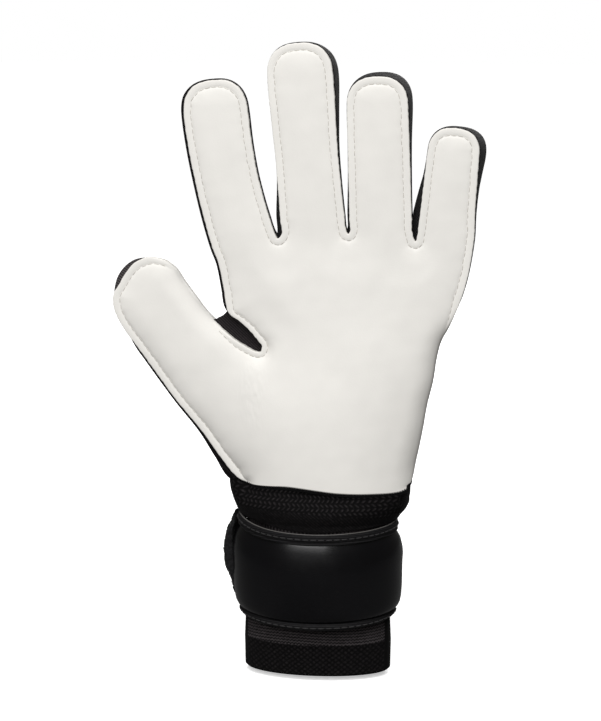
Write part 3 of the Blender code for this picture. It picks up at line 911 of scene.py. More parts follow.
class Sheet:
    """The front (side -1) or back (side 1): a mesh in the plan, and its depth."""

    def __init__(self, outline, side, seam_depth, rise, cut, groove):
        self.outline, self.side = outline, side
        size = len(outline.points)
        rows = ring_rows(outline, cut, groove)
        plan = [outline.offset(distance) for distance, _ in rows]
        drops = [np.broadcast_to(drop, size) for _, drop in rows]
        ring = plan[-1]
        cuts = self.cut_lines(ring)
        inner, triangles = self.fill(ring, cuts)
        points = np.vstack([*plan, inner])
        drop = np.concatenate([*drops, np.zeros(len(inner))])
        shift = (len(plan) - 1) * size
        inner_faces = [tuple(v + shift for v in triangle) for triangle in triangles]
        self.faces = grid_faces(len(plan), size) + inner_faces
        if side > 0:
            self.faces = [face[::-1] for face in self.faces]
        self.edge_faces = range(EDGE_ROWS * size)
        self.regions = [outline.region(i) for i in range(size)] * (len(plan) - 1)
        self.regions += self.locate(points[np.array(inner_faces)].mean(1), ring, cuts)
        depth = seam_depth + rise(points, self.seam_gap(points)) - drop - self.roll_drop(points)
        self.verts = np.stack([points[:, 0], side * depth, points[:, 1]], 1)

    def seam_gap(self, points):
        """Distance inside the seam. The rows outside it have some only near the hem."""
        outline, size = self.outline, len(self.outline.points)
        gap = np.zeros(len(points))
        gap[GROOVE_ROW * size:] = outline.seam_gap(points[GROOVE_ROW * size:])
        near_hem = np.flatnonzero(outline.at_hem > 0)
        for k in range(GROOVE_ROW):
            columns = k * size + near_hem
            gap[columns] = outline.seam_gap(points[columns])
        return gap

    def roll_drop(self, points):
        """How far the sheet falls back near the parts of its outline that are rolled."""
        if self.side > 0:
            return 0.0
        outline, size = self.outline, len(self.outline.points)
        edge, place = nearest(points, outline.points, np.roll(outline.points, -1, 0))
        roll = np.interp(place, np.arange(size + 1), np.append(outline.roll, outline.roll[0]))
        roll[:EDGE_ROWS * size] = np.tile(outline.roll, EDGE_ROWS)
        edge[:EDGE_ROWS * size] = 0.0
        return ROLL_DROP * roll * (1 - pillow(edge, ROLL_WIDTH))

    def cut_lines(self, ring):
        """Lines across the sheet, as (name, kind) to points between two ring places."""
        lines = {}
        for (name, kind), (first, last) in self.outline.marks.items():
            a, b = ring[first], ring[last]
            way = [a, b]
            if name == "thumb" and kind == "base" and self.side < 0:
                way = [a, THUMB.place(0.5, 10.0), THUMB.place(-0.5, -6.0), b]
            points = [a]
            for start, end in zip(way, way[1:]):
                steps = max(int(np.linalg.norm(end - start) / MESH_STEP), 1)
                points += [lerp(start, end, i / steps) for i in range(1, steps + 1)]
            lines[name, kind] = (first, last, np.array(points))
        return lines

    def fill(self, ring, cuts):
        """Triangles inside the innermost ring, and the new points that they use."""
        low, high = ring.min(0), ring.max(0)
        rows = []
        step = MESH_STEP * math.sqrt(3) / 2
        for k in range(int((high[1] - low[1]) / step) + 1):
            xs = np.arange(low[0] + (k % 2) * MESH_STEP / 2, high[0], MESH_STEP)
            rows.append(np.stack([xs, np.full(len(xs), low[1] + k * step)], 1))
        grid = np.vstack(rows)
        grid = grid[in_polygon(grid, ring)]
        gap, _ = nearest_on_loop(grid, ring)
        grid = grid[gap > 0.6 * MESH_STEP]
        new, edges = [], [(i, (i + 1) % len(ring)) for i in range(len(ring))]
        count = len(ring)
        for first, last, points in cuts.values():
            middle = points[1:-1]
            gap, _ = nearest(grid, points[:-1], points[1:])
            grid = grid[gap > 0.5 * MESH_STEP]
            chain = [first, *range(count, count + len(middle)), last]
            edges += list(zip(chain, chain[1:]))
            new.append(middle)
            count += len(middle)
        flat = np.vstack([ring, *new, grid])
        result = geometry.delaunay_2d_cdt([Vector(p) for p in flat], edges, [], 1, 1e-6)
        places, triangles, origins = result[0], result[2], result[3]
        index, inner = {}, []
        for i, sources in enumerate(origins):
            ring_source = [s for s in sources if s < len(ring)]
            if ring_source:
                index[i] = ring_source[0]
            else:
                index[i] = len(ring) + len(inner)
                inner.append(tuple(places[i]))
        return np.array(inner), [tuple(index[v] for v in t) for t in triangles]

    def locate(self, middles, ring, cuts):
        """The part of the glove that each of the inner triangles belongs to."""
        regions = np.full(len(middles), "hand", dtype=object)
        for name in DIGITS:
            for kind, half in (("base", "lower"), ("split", "upper")):
                first, last, points = cuts[name, kind]
                loop = np.vstack([ring[first:last + 1], points[::-1][1:-1]])
                regions[in_polygon(middles, loop)] = f"{name}_{half}"
        return list(regions)


def pillow(gap, width, power=0.5):
    """A rounded rise from the seam, flat beyond width. It is a quarter ellipse at power 0.5."""
    return np.maximum(1 - (1 - np.minimum(gap / width, 1.0)) ** 2, 0.0) ** power


def front_rise(points, gap):
    """Height of the latex in front of its seam."""
    z = points[:, 1]
    share = smooth((178.0 - z) / 95.0)
    bulge = MEMBRANE_FRONT.at(points, gap) * lerp(*FRONT_BULGE, share)
    ahead, across = ((points - THUMB.base) @ np.stack([THUMB.along, THUMB.side], 1)).T
    on_thumb = smooth((ahead - 4.0) / 16.0) * smooth((22.0 - across) / 6.0)
    eased = lerp(0.2, 1.0, smooth(gap / 18.0))
    by_part = lerp(lerp(1.0, eased, smooth((z - 140.0) / 25.0)), THUMB_BULGE, on_thumb)
    bulge = bulge * by_part
    uneven = 0.07 * waves(points, 17.0, 3, 2) * smooth(gap / 6)
    return 0.7 * pillow(gap, 7.0, 0.9) + bulge + uneven


KNUCKLE_REACH = 7.0       # a finger's sewn channels lie this far either side of its middle
HAND_CHANNELS = ((152.0, 13.0), (140.0, 11.0), (128.0, 9.0))  # height and bend of the hand's


def channel(points, path, width, depth):
    """A groove along a path over a padded sheet."""
    path = np.asarray(path, float)
    gap, _ = nearest(points, path[:-1], path[1:])
    return -depth * np.exp(-(gap / width) ** 2)


def back_rise(points, gap):
    """Height of the padded back behind its seam, with its sewn channels."""
    z = points[:, 1]
    share = smooth((182.0 - z) / 90.0)
    height = 3.4 * pillow(gap, 7.0) + MEMBRANE_BACK.at(points, gap) * lerp(*BACK_BULGE, share)
    near = smooth((gap - 1.0) / 3.0)
    for finger in FINGERS:
        for t in (finger.first - KNUCKLE_REACH, finger.first + KNUCKLE_REACH):
            place, side = finger.spine(t)
            ahead = np.array((-side[1], side[0]))
            arc = [place + side * a + ahead * (a * a) * 0.02 for a in range(-16, 17, 2)]
            height = height + channel(points, arc, 1.0, 1.3) * near
    for top, bend in HAND_CHANNELS:
        arc = [(a, top - bend * ((a - 10.0) / 40.0) ** 2) for a in range(-34, 55, 3)]
        height = height + channel(points, arc, 1.1, 1.5) * near
    return height + 0.12 * waves(points, 15.0, 8, 2) * near


FRONT = Outline(False)
BACK = Outline(True, FRONT.counts)
MEMBRANE_FRONT = Membrane(FRONT)
MEMBRANE_BACK = Membrane(BACK)
LATEX_CUT = lerp(FRONT.height, HEM_EDGE, FRONT.at_hem)
BACK_CUT = np.full(len(BACK.points), BACK_CUT_EDGE)
front_sheet = Sheet(FRONT, -1, FRONT_SEAM, front_rise, LATEX_CUT, FRONT_GROOVE)
back_sheet = Sheet(BACK, 1, BACK_SEAM, back_rise, BACK_CUT, BACK_GROOVE)


ROUGHENED = (0.3, 0.8, 1.0, 1.0, 1.0, 0.9, 0.4)  # share of the straying, row by row


def roughen_edge(sheet, amount, seed):
    """A hand-cut edge: its outer rows stray a little from the outline."""
    size = len(sheet.outline.points)
    stray = amount * waves(np.stack([sheet.outline.along, 0 * sheet.outline.along], 1), 3.5, seed)
    stray *= 1 - sheet.outline.rolled
    for k, share in enumerate(ROUGHENED):
        rows = slice(k * size, (k + 1) * size)
        sheet.verts[rows, ::2] += sheet.outline.normals * (stray * share)[:, None]


roughen_edge(front_sheet, 0.13, 21)


def sheet_nodes(kind, on_hand):
    """The CAD nodes that a sheet stands for: on_hand, or a digit's node of this kind."""
    def chosen(region):
        if region == "hand":
            return on_hand
        name, half = region.split("_")
        return (f"{name}_{kind}_{half}",)
    return chosen


make_regions("palm_skin", front_sheet.verts, front_sheet.faces, front_sheet.regions, "latex",
             sheet_nodes("latex", ("palm_latex", "palm_foam")), "edge", front_sheet.edge_faces)
make_regions("back_skin", back_sheet.verts, back_sheet.faces, back_sheet.regions, "back",
             sheet_nodes("back", ("backhand_shell", "backhand_foam")))

# ---------------------------------------------------------------- the wall between them

def build_wall():
    """Quads from under the latex's edge, out past it and back to the backhand's edge."""
    front, back = FRONT, BACK
    start = -(FRONT_SEAM - LATEX_CUT - ROLL_DROP * front.roll)
    finish = BACK_SEAM - BACK_CUT
    peek = front.peek
    rows = [(front.offset(1.4 + front.rolled), start - 0.9),
            (front.offset(-0.6 * peek + 0.3 * front.rolled), start + 0.05),
            (front.offset(-peek), start + 0.7)]
    for share in (0.14, 0.26, 0.38, 0.50, 0.62, 0.74, 0.86, 0.95):
        out = peek * (1 - share) ** 1.6 + 0.35 * math.sin(math.pi * share)
        place = lerp(front.offset(-out), back.offset(-out), share)
        rows.append((place, lerp(start, finish, share)))
    rows.append((back.offset(0.6), finish + 0.1))
    rows.append((back.offset(1.8), finish + 0.7))
    size = front.hem[0] + 1
    verts = []
    for plan, depth in rows:
        depth = np.broadcast_to(depth, len(plan))
        verts.append(np.stack([plan[:, 0], depth, plan[:, 1]], 1)[:size])
    faces, regions = [], []
    for k in range(len(rows) - 1):
        for i in range(size - 1):
            faces.append((k * size + i, (k + 1) * size + i, (k + 1) * size + i + 1,
                          k * size + i + 1))
            regions.append(front.region(i))
    return np.array(verts), faces, regions


def wall_nodes(region):
    """The CAD nodes that a part of the wall stands for."""
    if region == "hand":
        return "side_gusset_little", "side_gusset_thumb", "side_gusset_index"
    name, half = region.split("_")
    if half == "upper":
        return (f"{name}_gusset_tip",)
    return f"{name}_gusset_left", f"{name}_gusset_right"


wall_rows, wall_faces, wall_regions = build_wall()
gussets = make_regions("gusset", wall_rows.reshape(-1, 3), wall_faces, wall_regions, "wall",
                       wall_nodes)
# The thumb's tip takes the lighter copy of the wall mesh: painted light where it faces up.
gussets["thumb_upper"].data.materials[0] = MATERIALS["lens"]

# ---------------------------------------------------------------- the thumb's web

# Pairs of points under the thumb's and the palm's edges, from the slit's end to the web's rim.
WEB_PAIRS = (((-24.9, 140.4), (-21.6, 143.4)), ((-27.2, 141.4), (-22.6, 146.0)),
             ((-30.6, 143.0), (-25.6, 149.4)), ((-35.8, 147.0), (-30.4, 154.0)),
             ((-40.2, 150.8), (-34.4, 157.2)), ((-44.4, 154.0), (-37.2, 158.4)))
WEB_DEPTH = -8.7


def build_web():
    """A ribbed patch that fills the slit and turns back between the thumb and the palm."""
    pairs = np.array(WEB_PAIRS, float)
    spans = np.arange(len(pairs))
    steps = np.linspace(0, len(pairs) - 1, 34)
    shares = np.linspace(0.0, 1.0, 19)
    rows = []
    for step in steps:
        low, high = ([np.interp(step, spans, pairs[:, k, axis]) for axis in (0, 1)]
                     for k in (0, 1))
        hollow = 4 * shares * (1 - shares)
        line = lerp(np.array(low), np.array(high), shares[:, None])
        line = line - np.outer(hollow, (-0.72, 0.69)) * float(smooth((step - 3.5) / 1.5)) * 0.9
        depth = WEB_DEPTH + 0.5 * hollow
        rows.append(np.stack([line[:, 0], depth, line[:, 1]], 1))
    rim = rows[-1]
    for back in (0.5, 1.4, 3.0, 6.0, 10.0, 15.0):
        sunk = -0.9 * (1 - math.exp(-back / 2.0))
        rows.append(rim + (0.3 * back ** 0.5, back, sunk))
    made = grid_piece("thumb_web", np.array(rows), "web")
    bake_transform(made)


build_web()

# ---------------------------------------------------------------- stitches

# Rings of a stitch as (place along it, share of its radius, height in radii).
STITCH_RINGS = ((0.0, 0.35, -0.7), (0.12, 0.85, -0.1), (0.5, 1.0, 0.25), (0.88, 0.85, -0.1),
                (1.0, 0.35, -0.7))


def capsule(start, end, up, radius, sides=6):
    """Rings of a stitch that dives into the fabric at both its ends."""
    start, end, up = (np.asarray(p, float) for p in (start, end, up))
    along = (end - start) / np.linalg.norm(end - start)
    across = np.cross(along, up)
    verts, faces = [], []
    for share, girth, lift in STITCH_RINGS:
        centre = lerp(start, end, share) + up * lift * radius
        for k in range(sides):
            turn = 2 * math.pi * k / sides
            outward = across * math.cos(turn) + up * math.sin(turn)
            verts.append(centre + radius * girth * outward)
    last = len(STITCH_RINGS) - 1
    for ring in range(last):
        for k in range(sides):
            j = (k + 1) % sides
            a, b = ring * sides, (ring + 1) * sides
            faces.append((a + k, a + j, b + j, b + k))
    faces.append(tuple(range(sides))[::-1])
    faces.append(tuple(last * sides + k for k in range(sides)))
    return verts, faces


class Stitching:
    """Collects stitches as one mesh for each part of the glove."""

    def __init__(self):
        self.verts, self.faces, self.regions = [], [], []

    def add(self, start, end, up, radius, region="hand"):
        verts, faces = capsule(start, end, up, radius)
        shift = len(self.verts)
        self.verts += verts
        self.faces += [tuple(v + shift for v in face) for face in faces]
        self.regions += [region] * len(faces)


STITCH_PITCH = 2.7
MOST_ROLLED = 0.25        # no stitches show where the latex is rolled more than this


def seam_stitches(outline, side, depth, length, radius):
    """Stitches along an outline's groove, left out where the sheet is rolled or hemmed."""
    sewing = Stitching()
    seam = closed_loop(outline.offset(outline.flange))
    along = running_length(seam)
    wobble = np.random.default_rng(4)
    for s in np.arange(0.0, along[-1] - STITCH_PITCH, STITCH_PITCH):
        ends = [[np.interp(t, along, seam[:, axis]) for axis in (0, 1)] for t in (s, s + length)]
        column = int(np.searchsorted(along, s + length / 2)) - 1
        if outline.rolled[column] > MOST_ROLLED or outline.at_hem[column] > 0:
            continue
        shift = outline.normals[column] * wobble.normal(0.0, 0.07)
        start, end = (np.array(p) + shift for p in ends)
        fall = ROLL_DROP * outline.roll[column] * (1 - pillow(outline.flange[column], ROLL_WIDTH))
        y = side * (depth - (fall if side < 0 else 0.0))
        sewing.add((start[0], y, start[1]), (end[0], y, end[1]),
                   (0.0, side, 0.0), radius, outline.region(column))
    return sewing


sewing = seam_stitches(FRONT, -1, FRONT_SEAM - 0.15, 2.3, 0.14)
make_regions("stitches", sewing.verts, sewing.faces, sewing.regions, "thread")
sewing = seam_stitches(BACK, 1, BACK_SEAM - 0.25, 2.1, 0.24)
make_regions("back_stitches", sewing.verts, sewing.faces, sewing.regions, "dark_thread")

# ---------------------------------------------------------------- wrist

CENTRE_X = 0.5
# Rings of the ruff and the cuff as (height, half width, half depth, place of the middle in x).
RUFF_RINGS = ((68.9, 33.4, 20.8, 0.2), (70.4, 34.4, 21.3, 0.4), (72.8, 36.0, 21.9, 1.0),
              (76.3, 37.8, 22.6, 1.4), (80.0, 38.6, 23.2, 1.4), (84.0, 38.7, 23.6, 1.1),
              (90.0, 38.6, 23.6, 1.0))
CUFF_RINGS = ((0.0, 31.5, 16.4, 0.0), (14.0, 31.7, 17.4, 0.0), (24.0, 31.3, 18.7, 0.0),
              (27.0, 30.0, 19.4, 0.0), (69.0, 29.8, 20.0, 0.0))
CUFF_SPLIT = 15.4         # the cuff's ribs are above this height and its lattice below
CUFF_RIB, LATTICE = 1.45, 2.7
RUFF_SPLIT = 73.3         # the ruff's basket weave is above this height and fine ribs below
BASKET_ROW, BASKET_PITCH, FINE_RIB = 1.75, 2.2, 1.15
RUFF_MEAN, CUFF_MEAN = (37.0, 22.5), (31.0, 17.5)  # ellipses that the weaves are spaced on
RIM_LIFT = 2.2            # the cuff's rim stands off the ground except at the back
STRAP_HALF = (35.4, 25.6)
STRAP_DIP = 2.1           # how far the strap sags in front
STRAP_TOP = 68.4


def strap_height(turn, z):
    """The strap sags in front, and its upper edge climbs towards the thumb."""
    dip = STRAP_DIP * max(0.0, -math.sin(turn)) ** 1.6
    climb = 2.4 * max(0.0, -math.cos(turn)) ** 4 * float(smooth((z - 48.0) / 20.0))
    return z - dip + climb


def ring_size(rings, z):
    """Half width, half depth and middle of a tube at a height."""
    heights = [ring[0] for ring in rings]
    return [np.interp(z, heights, [ring[k] for ring in rings]) for k in (1, 2, 3)]


def arc_length(turns, half_width, half_depth):
    """Distance round an ellipse to each of the polar angles turns, in millimetres."""
    fine = np.linspace(-math.pi, math.pi, 2001)
    r = ellipse_radius(fine, half_width, half_depth)
    step = np.hypot(np.diff(r * np.cos(fine)), np.diff(r * np.sin(fine)))
    return np.interp(turns, fine, np.concatenate([[0.0], np.cumsum(step)]))


def ellipse_radius(turn, half_width, half_depth):
    return 1 / np.hypot(np.cos(turn) / half_width, np.sin(turn) / half_depth)


def polar(ring):
    """Angles, radii and heights of a ring of points about the glove's middle, by angle."""
    turn = np.arctan2(ring[:, 1], ring[:, 0] - CENTRE_X)
    order = np.argsort(turn)
    radius = np.hypot(ring[:, 0] - CENTRE_X, ring[:, 1])
    return turn[order], radius[order], ring[order, 2]


def opening_ring():
    """The edge of the glove's lower end, round the front, the walls and the back."""
    size = len(FRONT.points)
    columns = [*range(FRONT.hem[0] + 2, size - 1)]
    front = front_sheet.verts[[3 * size + i for i in columns]]
    back = back_sheet.verts[[3 * size + i for i in columns]]
    wall = wall_rows[2:-2]
    return np.vstack([front, back, wall[:, 0], wall[:, -1]])


def tube(turns, heights, radius):
    """Rows of points round the glove, and their painted weave shades, from a function of angles and
    height.
    """
    rows, weave_shades = [], []
    for z in heights:
        r, x0, height, weave_shade = radius(turns, z)
        rows.append(np.stack([x0 + r * np.cos(turns), r * np.sin(turns), height], 1))
        weave_shades.append(weave_shade)
    return np.array(rows), np.array(weave_shades)


def triangle_wave(t):
    return 2 * np.abs(2 * (t - np.floor(t + 0.5))) - 1


OPENING = polar(opening_ring())


def ruff_weave(turns, around, z):
    """Height in mm and painted light (0 to 1) of the basket weave, with fine slanted ribs below it.
    """
    row = np.floor(z / BASKET_ROW)
    slant = np.where(row % 2 == 0, 1.0, -1.0)
    across = np.cos(2 * np.pi * (around + slant * z * 0.9) / BASKET_PITCH)
    basket = (0.5 + 0.5 * across) * np.abs(np.sin(np.pi * z / BASKET_ROW)) ** 0.6
    fine = 0.5 + 0.5 * np.sin(2 * np.pi * (around * 0.7 + z) / FINE_RIB)
    split = RUFF_SPLIT + 1.6 * np.cos(turns + 2.6)
    upper = smooth((z - split + 0.2) / 0.4)
    return lerp(0.10 * fine, 0.45 * basket, upper), lerp(0.36 * fine, 0.5 * basket, upper)


def ruff_radius(turns, share):
    """The ruff flares from the strap out to just under the edge of the glove's lower end."""
    opening = np.interp(turns, OPENING[0], OPENING[1], period=2 * math.pi)
    left = smooth((-np.cos(turns) - 0.92) / 0.05)
    right = smooth((np.cos(turns) - 0.93) / 0.05)
    top = np.interp(turns, OPENING[0], OPENING[2], period=2 * math.pi) + 1.2 + 2.0 * left
    low = np.array([strap_height(turn, STRAP_TOP) for turn in turns])
    z = lerp(low, top, share)
    half_width, half_depth, x0 = ring_size(RUFF_RINGS, z)
    plain = ellipse_radius(turns, half_width, half_depth)
    side = np.abs(np.cos(turns)) ** 4
    target = opening + lerp(-1.6, -0.3, side)
    target = lerp(lerp(target, plain - 0.2, left), plain - 0.9, right)
    near = smooth((share - 0.25) / 0.6)
    weave, weave_shade = ruff_weave(turns, arc_length(turns, *RUFF_MEAN), z)
    plain_strip = smooth((np.abs(np.cos(turns)) - 0.982) / 0.006)
    r = lerp(plain, target, near) + weave * (1 - plain_strip) * smooth(share / 0.04)
    # The painted light is left out on the plain strip, which takes the knit's darkest, shaded
    # colour.
    return r, lerp(x0, CENTRE_X, near), z, weave_shade * (1 - plain_strip)


def tube_piece(name, rows, weave_shades, inner, step):
    """A tube whose wall turns in at its lower end, or its upper one where step is -1."""
    lining = rows[::6 * step].copy()
    lining[..., 0] = CENTRE_X + (lining[..., 0] - CENTRE_X) * inner[0]
    lining[..., 1] *= inner[1]
    parts = (rows, lining) if step < 0 else (lining[::-1], rows)
    # The turned-in lining gets no painted light: it takes the knit's darkest, shaded colour.
    lining_shade = np.zeros(lining.shape[:2])
    weave_shade = (weave_shades, lining_shade) if step < 0 else (lining_shade, weave_shades)
    made = grid_piece(name, np.concatenate(parts), "knit", True, np.concatenate(weave_shade))
    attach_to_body(made, "root")
    return made


def full_circle(count):
    return np.linspace(-math.pi, math.pi, count + 1)[:-1]


ruff_rows, ruff_shades = tube(full_circle(520), np.linspace(0.0, 1.0, 48), ruff_radius)
tube_piece("elastic_ruff", ruff_rows, ruff_shades, (0.95, 0.93), -1)


def cuff_weave(around, z):
    """Height in mm and painted light (0 to 1) of the cuff's zigzag ribs, with a lattice below them.
    """
    sag = 0.5 * np.cos(around / 9.0)
    zigzag = 0.34 * triangle_wave(around / 1.5)
    ribs = 0.5 + 0.5 * np.sin(2 * np.pi * (z + sag + zigzag) / CUFF_RIB)
    one = np.abs(np.sin(np.pi * (around + z * 1.15) / LATTICE))
    two = np.abs(np.sin(np.pi * (around - z * 1.15) / LATTICE))
    lattice = np.minimum(one, two) ** 0.5
    upper = smooth((z - CUFF_SPLIT + 0.3) / 0.6)
    return lerp(0.34 * lattice, 0.20 * ribs, upper), lerp(0.34 * lattice, 1.6 * ribs, upper)


def cuff_radius(turns, z):
    """The cuff has a plain strip at each side, and its rim is lifted except at the back."""
    half_width, half_depth, x0 = ring_size(CUFF_RINGS, z)
    r = ellipse_radius(turns, half_width, half_depth)
    plain_strip = smooth((np.abs(np.cos(turns)) - 0.975) / 0.006)
    weave, weave_shade = cuff_weave(arc_length(turns, *CUFF_MEAN), z)
    r = r + weave * (1 - plain_strip) * float(smooth(z / 0.6))
    r = r - 0.8 * float(smooth((0.9 - z) / 0.9))
    lift = RIM_LIFT * smooth((0.75 - np.sin(turns)) / 0.8) * max(0.0, 1 - z / 26.0)
    # The painted light is left out on the plain strips and along the rim's lowest millimetre, which
    # take the darkest colour.
    return r, x0, z + lift, weave_shade * (1 - plain_strip) * float(smooth((z - 0.7) / 0.5))


cuff_heights = [0.0, 0.15, 0.45, *np.arange(0.9, 28.0, 0.36), 34.0, 50.0, 69.4]
cuff = tube_piece("elastic_cuff_knit", *tube(full_circle(460), cuff_heights, cuff_radius),
                  (0.955, 0.925), 1)
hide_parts("elastic_cuff")


def surface_tree(verts, faces):
    return bvhtree.BVHTree.FromPolygons([Vector(v) for v in verts], faces)


def outermost(trees, turn, z, reach=80.0):
    """Distance from the glove's middle to its outer surface, or 0 where there is none."""
    away = Vector((math.cos(turn), math.sin(turn), 0.0))
    start = Vector((CENTRE_X, 0.0, z)) + away * reach
    gaps = [tree.ray_cast(start, -away, reach)[3] for tree in trees]
    return reach - min(reach if gap is None else gap for gap in gaps)


STRIP_LOW, STRIP_HIGH, STRIP_ROUND = 69.2, 87.9, 2.6
STRIP_BACK = math.radians(13.0)
LATEX_CORNER = 38.8       # half width of the latex at the hem's corner


def side_strip():
    """A plain strip over the little finger's side of the ruff, round where it laps the latex."""
    trees = [surface_tree(front_sheet.verts, front_sheet.faces),
             surface_tree(ruff_rows.reshape(-1, 3), grid_faces(*ruff_rows.shape[:2]))]
    rows = []
    for z in np.arange(STRIP_LOW, STRIP_HIGH + 0.01, 0.55):
        inward = min(max(1 - (STRIP_HIGH - z) / STRIP_ROUND, 0.0), 1.0)
        narrow = max(math.sqrt(1 - inward ** 2), 0.05)
        half_width, half_depth, _ = ring_size(RUFF_RINGS, z)
        front = -math.radians(lerp(11.5, 18.0, float(smooth((z - 76.0) / 9.0))))
        line = []
        for share in np.linspace(0.0, 1.0, 19):
            turn = lerp(front, STRIP_BACK, share)
            turn = lerp(-0.03, turn, narrow)
            edge = 1 - abs(2 * share - 1) ** 6
            r = float(ellipse_radius(turn, half_width, half_depth)) - 0.7 + 1.2 * edge
            flat = lerp(r, LATEX_CORNER / math.cos(turn), float(smooth((z - 77.0) / 8.0)))
            over = outermost(trees, turn, z) or flat
            r = max(r, over - 0.15 + 0.65 * edge)
            line.append((CENTRE_X + r * math.cos(turn), r * math.sin(turn), z))
        rows.append(line)
    made = grid_piece("ruff_side_strip", np.array(rows), "tape")
    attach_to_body(made, "root")


side_strip()

# ---------------------------------------------------------------- hem overlock

OVERLOCK_PITCH, OVERLOCK_RADIUS = 1.15, 0.34
# The tape's profile as (height above the latex's edge, depth behind it).
HEM_TAPE = ((-1.7, 0.2), (-1.0, -0.35), (-0.2, -0.45), (0.15, -0.25), (0.2, 0.4))


def build_overlock():
    """Slanted loops of black thread over the latex's lower edge, and the tape under them."""
    size = len(FRONT.points)
    columns = [*range(FRONT.hem[0], size), 0]
    path = front_sheet.verts[[5 * size + i for i in columns]]
    low = front_sheet.verts[[2 * size + i for i in columns]]
    along = running_length(path)
    sewing = Stitching()
    for s in np.arange(0.4, along[-1] - 0.8, OVERLOCK_PITCH):
        top = [np.interp(s + 0.35, along, path[:, k]) for k in range(3)]
        bottom = [np.interp(s - 0.25, along, low[:, k]) for k in range(3)]
        top = np.array(top) + (0.0, -0.15, 0.5)
        bottom = np.array(bottom) + (0.0, -0.35, -0.7)
        sewing.add(bottom, top, (0.0, -1.0, 0.0), OVERLOCK_RADIUS)
    return sewing, np.array([low + (0.0, depth, lift) for lift, depth in HEM_TAPE])


overlock, hem_rows = build_overlock()
hem_thread = make_object("hem_overlock", overlock.verts, overlock.faces, "dark_thread")
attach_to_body(hem_thread, "root")
hem_tape = grid_piece("hem_edge_tape", hem_rows, "tape")
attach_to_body(hem_tape, "root")
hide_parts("hem_tape")

# ---------------------------------------------------------------- strap

# Outer profiles as (height, distance outside the strap's ellipse), from the lower edge up.
PANEL = ((30.0, -1.7), (30.15, -1.1), (30.5, -0.6), (31.2, -0.15), (32.6, 0.25), (35.0, 0.55),
         (39.0, 0.85), (43.0, 1.0), (47.0, 1.05), (50.5, 0.9), (53.5, 0.5), (56.0, 0.05),
         (58.2, -0.45), (60.0, -0.9), (61.5, -1.3), (62.6, -1.65), (63.4, -1.9), (63.9, -2.1))
TOP_BAND = ((63.5, -1.9), (63.75, -1.25), (64.1, -1.0), (64.5, -1.15), (64.8, -1.45),
            (65.1, -1.2), (65.6, -1.0), (66.5, -0.95), (67.4, -1.0), (67.9, -1.15), (68.2, -1.6))
LOW_BAND = ((26.8, -1.8), (26.85, -1.2), (27.1, -0.8), (27.6, -0.55), (28.4, -0.55),
            (29.2, -0.8), (29.7, -1.2), (30.1, -1.8))
# Profile of the painted glint: a thin light grey tube at the top band's upper edge.
GLINT_PROFILE = ((68.15, -1.7), (68.2, -1.5), (68.3, -1.42), (68.4, -1.5), (68.44, -1.7))
STITCHED_RADIUS = 30.0
# Ends of the strap's two parts, in degrees from the little finger's side towards the back.
FRONT_ANGLES, FLAP_ANGLES = (-198.0, 18.0), (22.0, 158.0)


def strap_place(turn, grow):
    """A plan point at an angle, grow outside the strap's ellipse."""
    return ((STRAP_HALF[0] + grow) * math.cos(turn), (STRAP_HALF[1] + grow) * math.sin(turn))


def side_taper(turn, z):
    """The strap hugs the cuff closely at its lower corners, and stays full higher up there."""
    full = float(smooth((z - 48.0) / 8.0) * (1 - smooth((z - 60.0) / 3.6)))
    low = max(0.0, (34.0 - z) / 8.0) ** 1.4
    return (1.1 * full - 1.9 * low) * abs(math.cos(turn)) ** 3


def sweep_band(name, angles, profile, inner, stuff, body, nodes=(), step=1.0, dent=None,
               corner=0.0):
    """A band round the wrist with an outer profile of (height, growth) and a flat inner face.

    angles are in degrees from the little finger's side, step apart. dent adds to the growth,
    and corner is the radius of the band's ends.
    """
    span = abs(angles[1] - angles[0])
    count = max(int(span / step), 4)
    middle_z = (profile[0][0] + profile[-1][0]) / 2
    half_z = (profile[-1][0] - profile[0][0]) / 2
    rows = []
    for i in range(count + 1):
        turn = math.radians(lerp(*angles, i / count))
        from_end = min(i, count - i) / count * span
        from_end *= math.radians(1) * STRAP_HALF[0]
        narrow = 1.0
        if corner and from_end < corner:
            narrow = 1 - corner / half_z * (1 - math.sqrt(1 - (1 - from_end / corner) ** 2))
        thin = float(smooth(0.35 + from_end / 1.2))
        line = []
        for z, grow in profile:
            z = middle_z + (z - middle_z) * narrow
            out = dent(math.degrees(turn), z) if dent else 0.0
            x, y = strap_place(turn, lerp(inner, grow + out, thin) + side_taper(turn, z))
            line.append((x, y, strap_height(turn, z)))
        for z, _ in profile[::-1]:
            z = middle_z + (z - middle_z) * narrow
            x, y = strap_place(turn, inner + side_taper(turn, z) * 0.8)
            line.append((x, y, strap_height(turn, z)))
        rows.append(line)
    rows = np.array(rows)
    columns = rows.shape[1]
    faces = grid_faces(len(rows), columns)
    last = (len(rows) - 1) * columns
    half = columns // 2
    for k in range(half - 1):
        cap = (k, columns - 1 - k, columns - 2 - k, k + 1)
        faces.append(cap)
        faces.append(tuple(last + v for v in cap[::-1]))
    if angles[1] > angles[0]:
        faces = [face[::-1] for face in faces]
    made = make_object(name, rows.reshape(-1, 3), faces, stuff)
    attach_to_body(made, body)
    if nodes:
        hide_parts(*nodes)
    return made


def panel_dent(degrees, z):
    """A vertical fold near the thumb side and the pull of the stitches along both edges."""
    fold = -0.55 * math.exp(-((degrees + 180.5) / 1.1) ** 2)
    return fold + 0.10 * math.sin(math.radians(degrees) * 3.0 + z * 0.08)


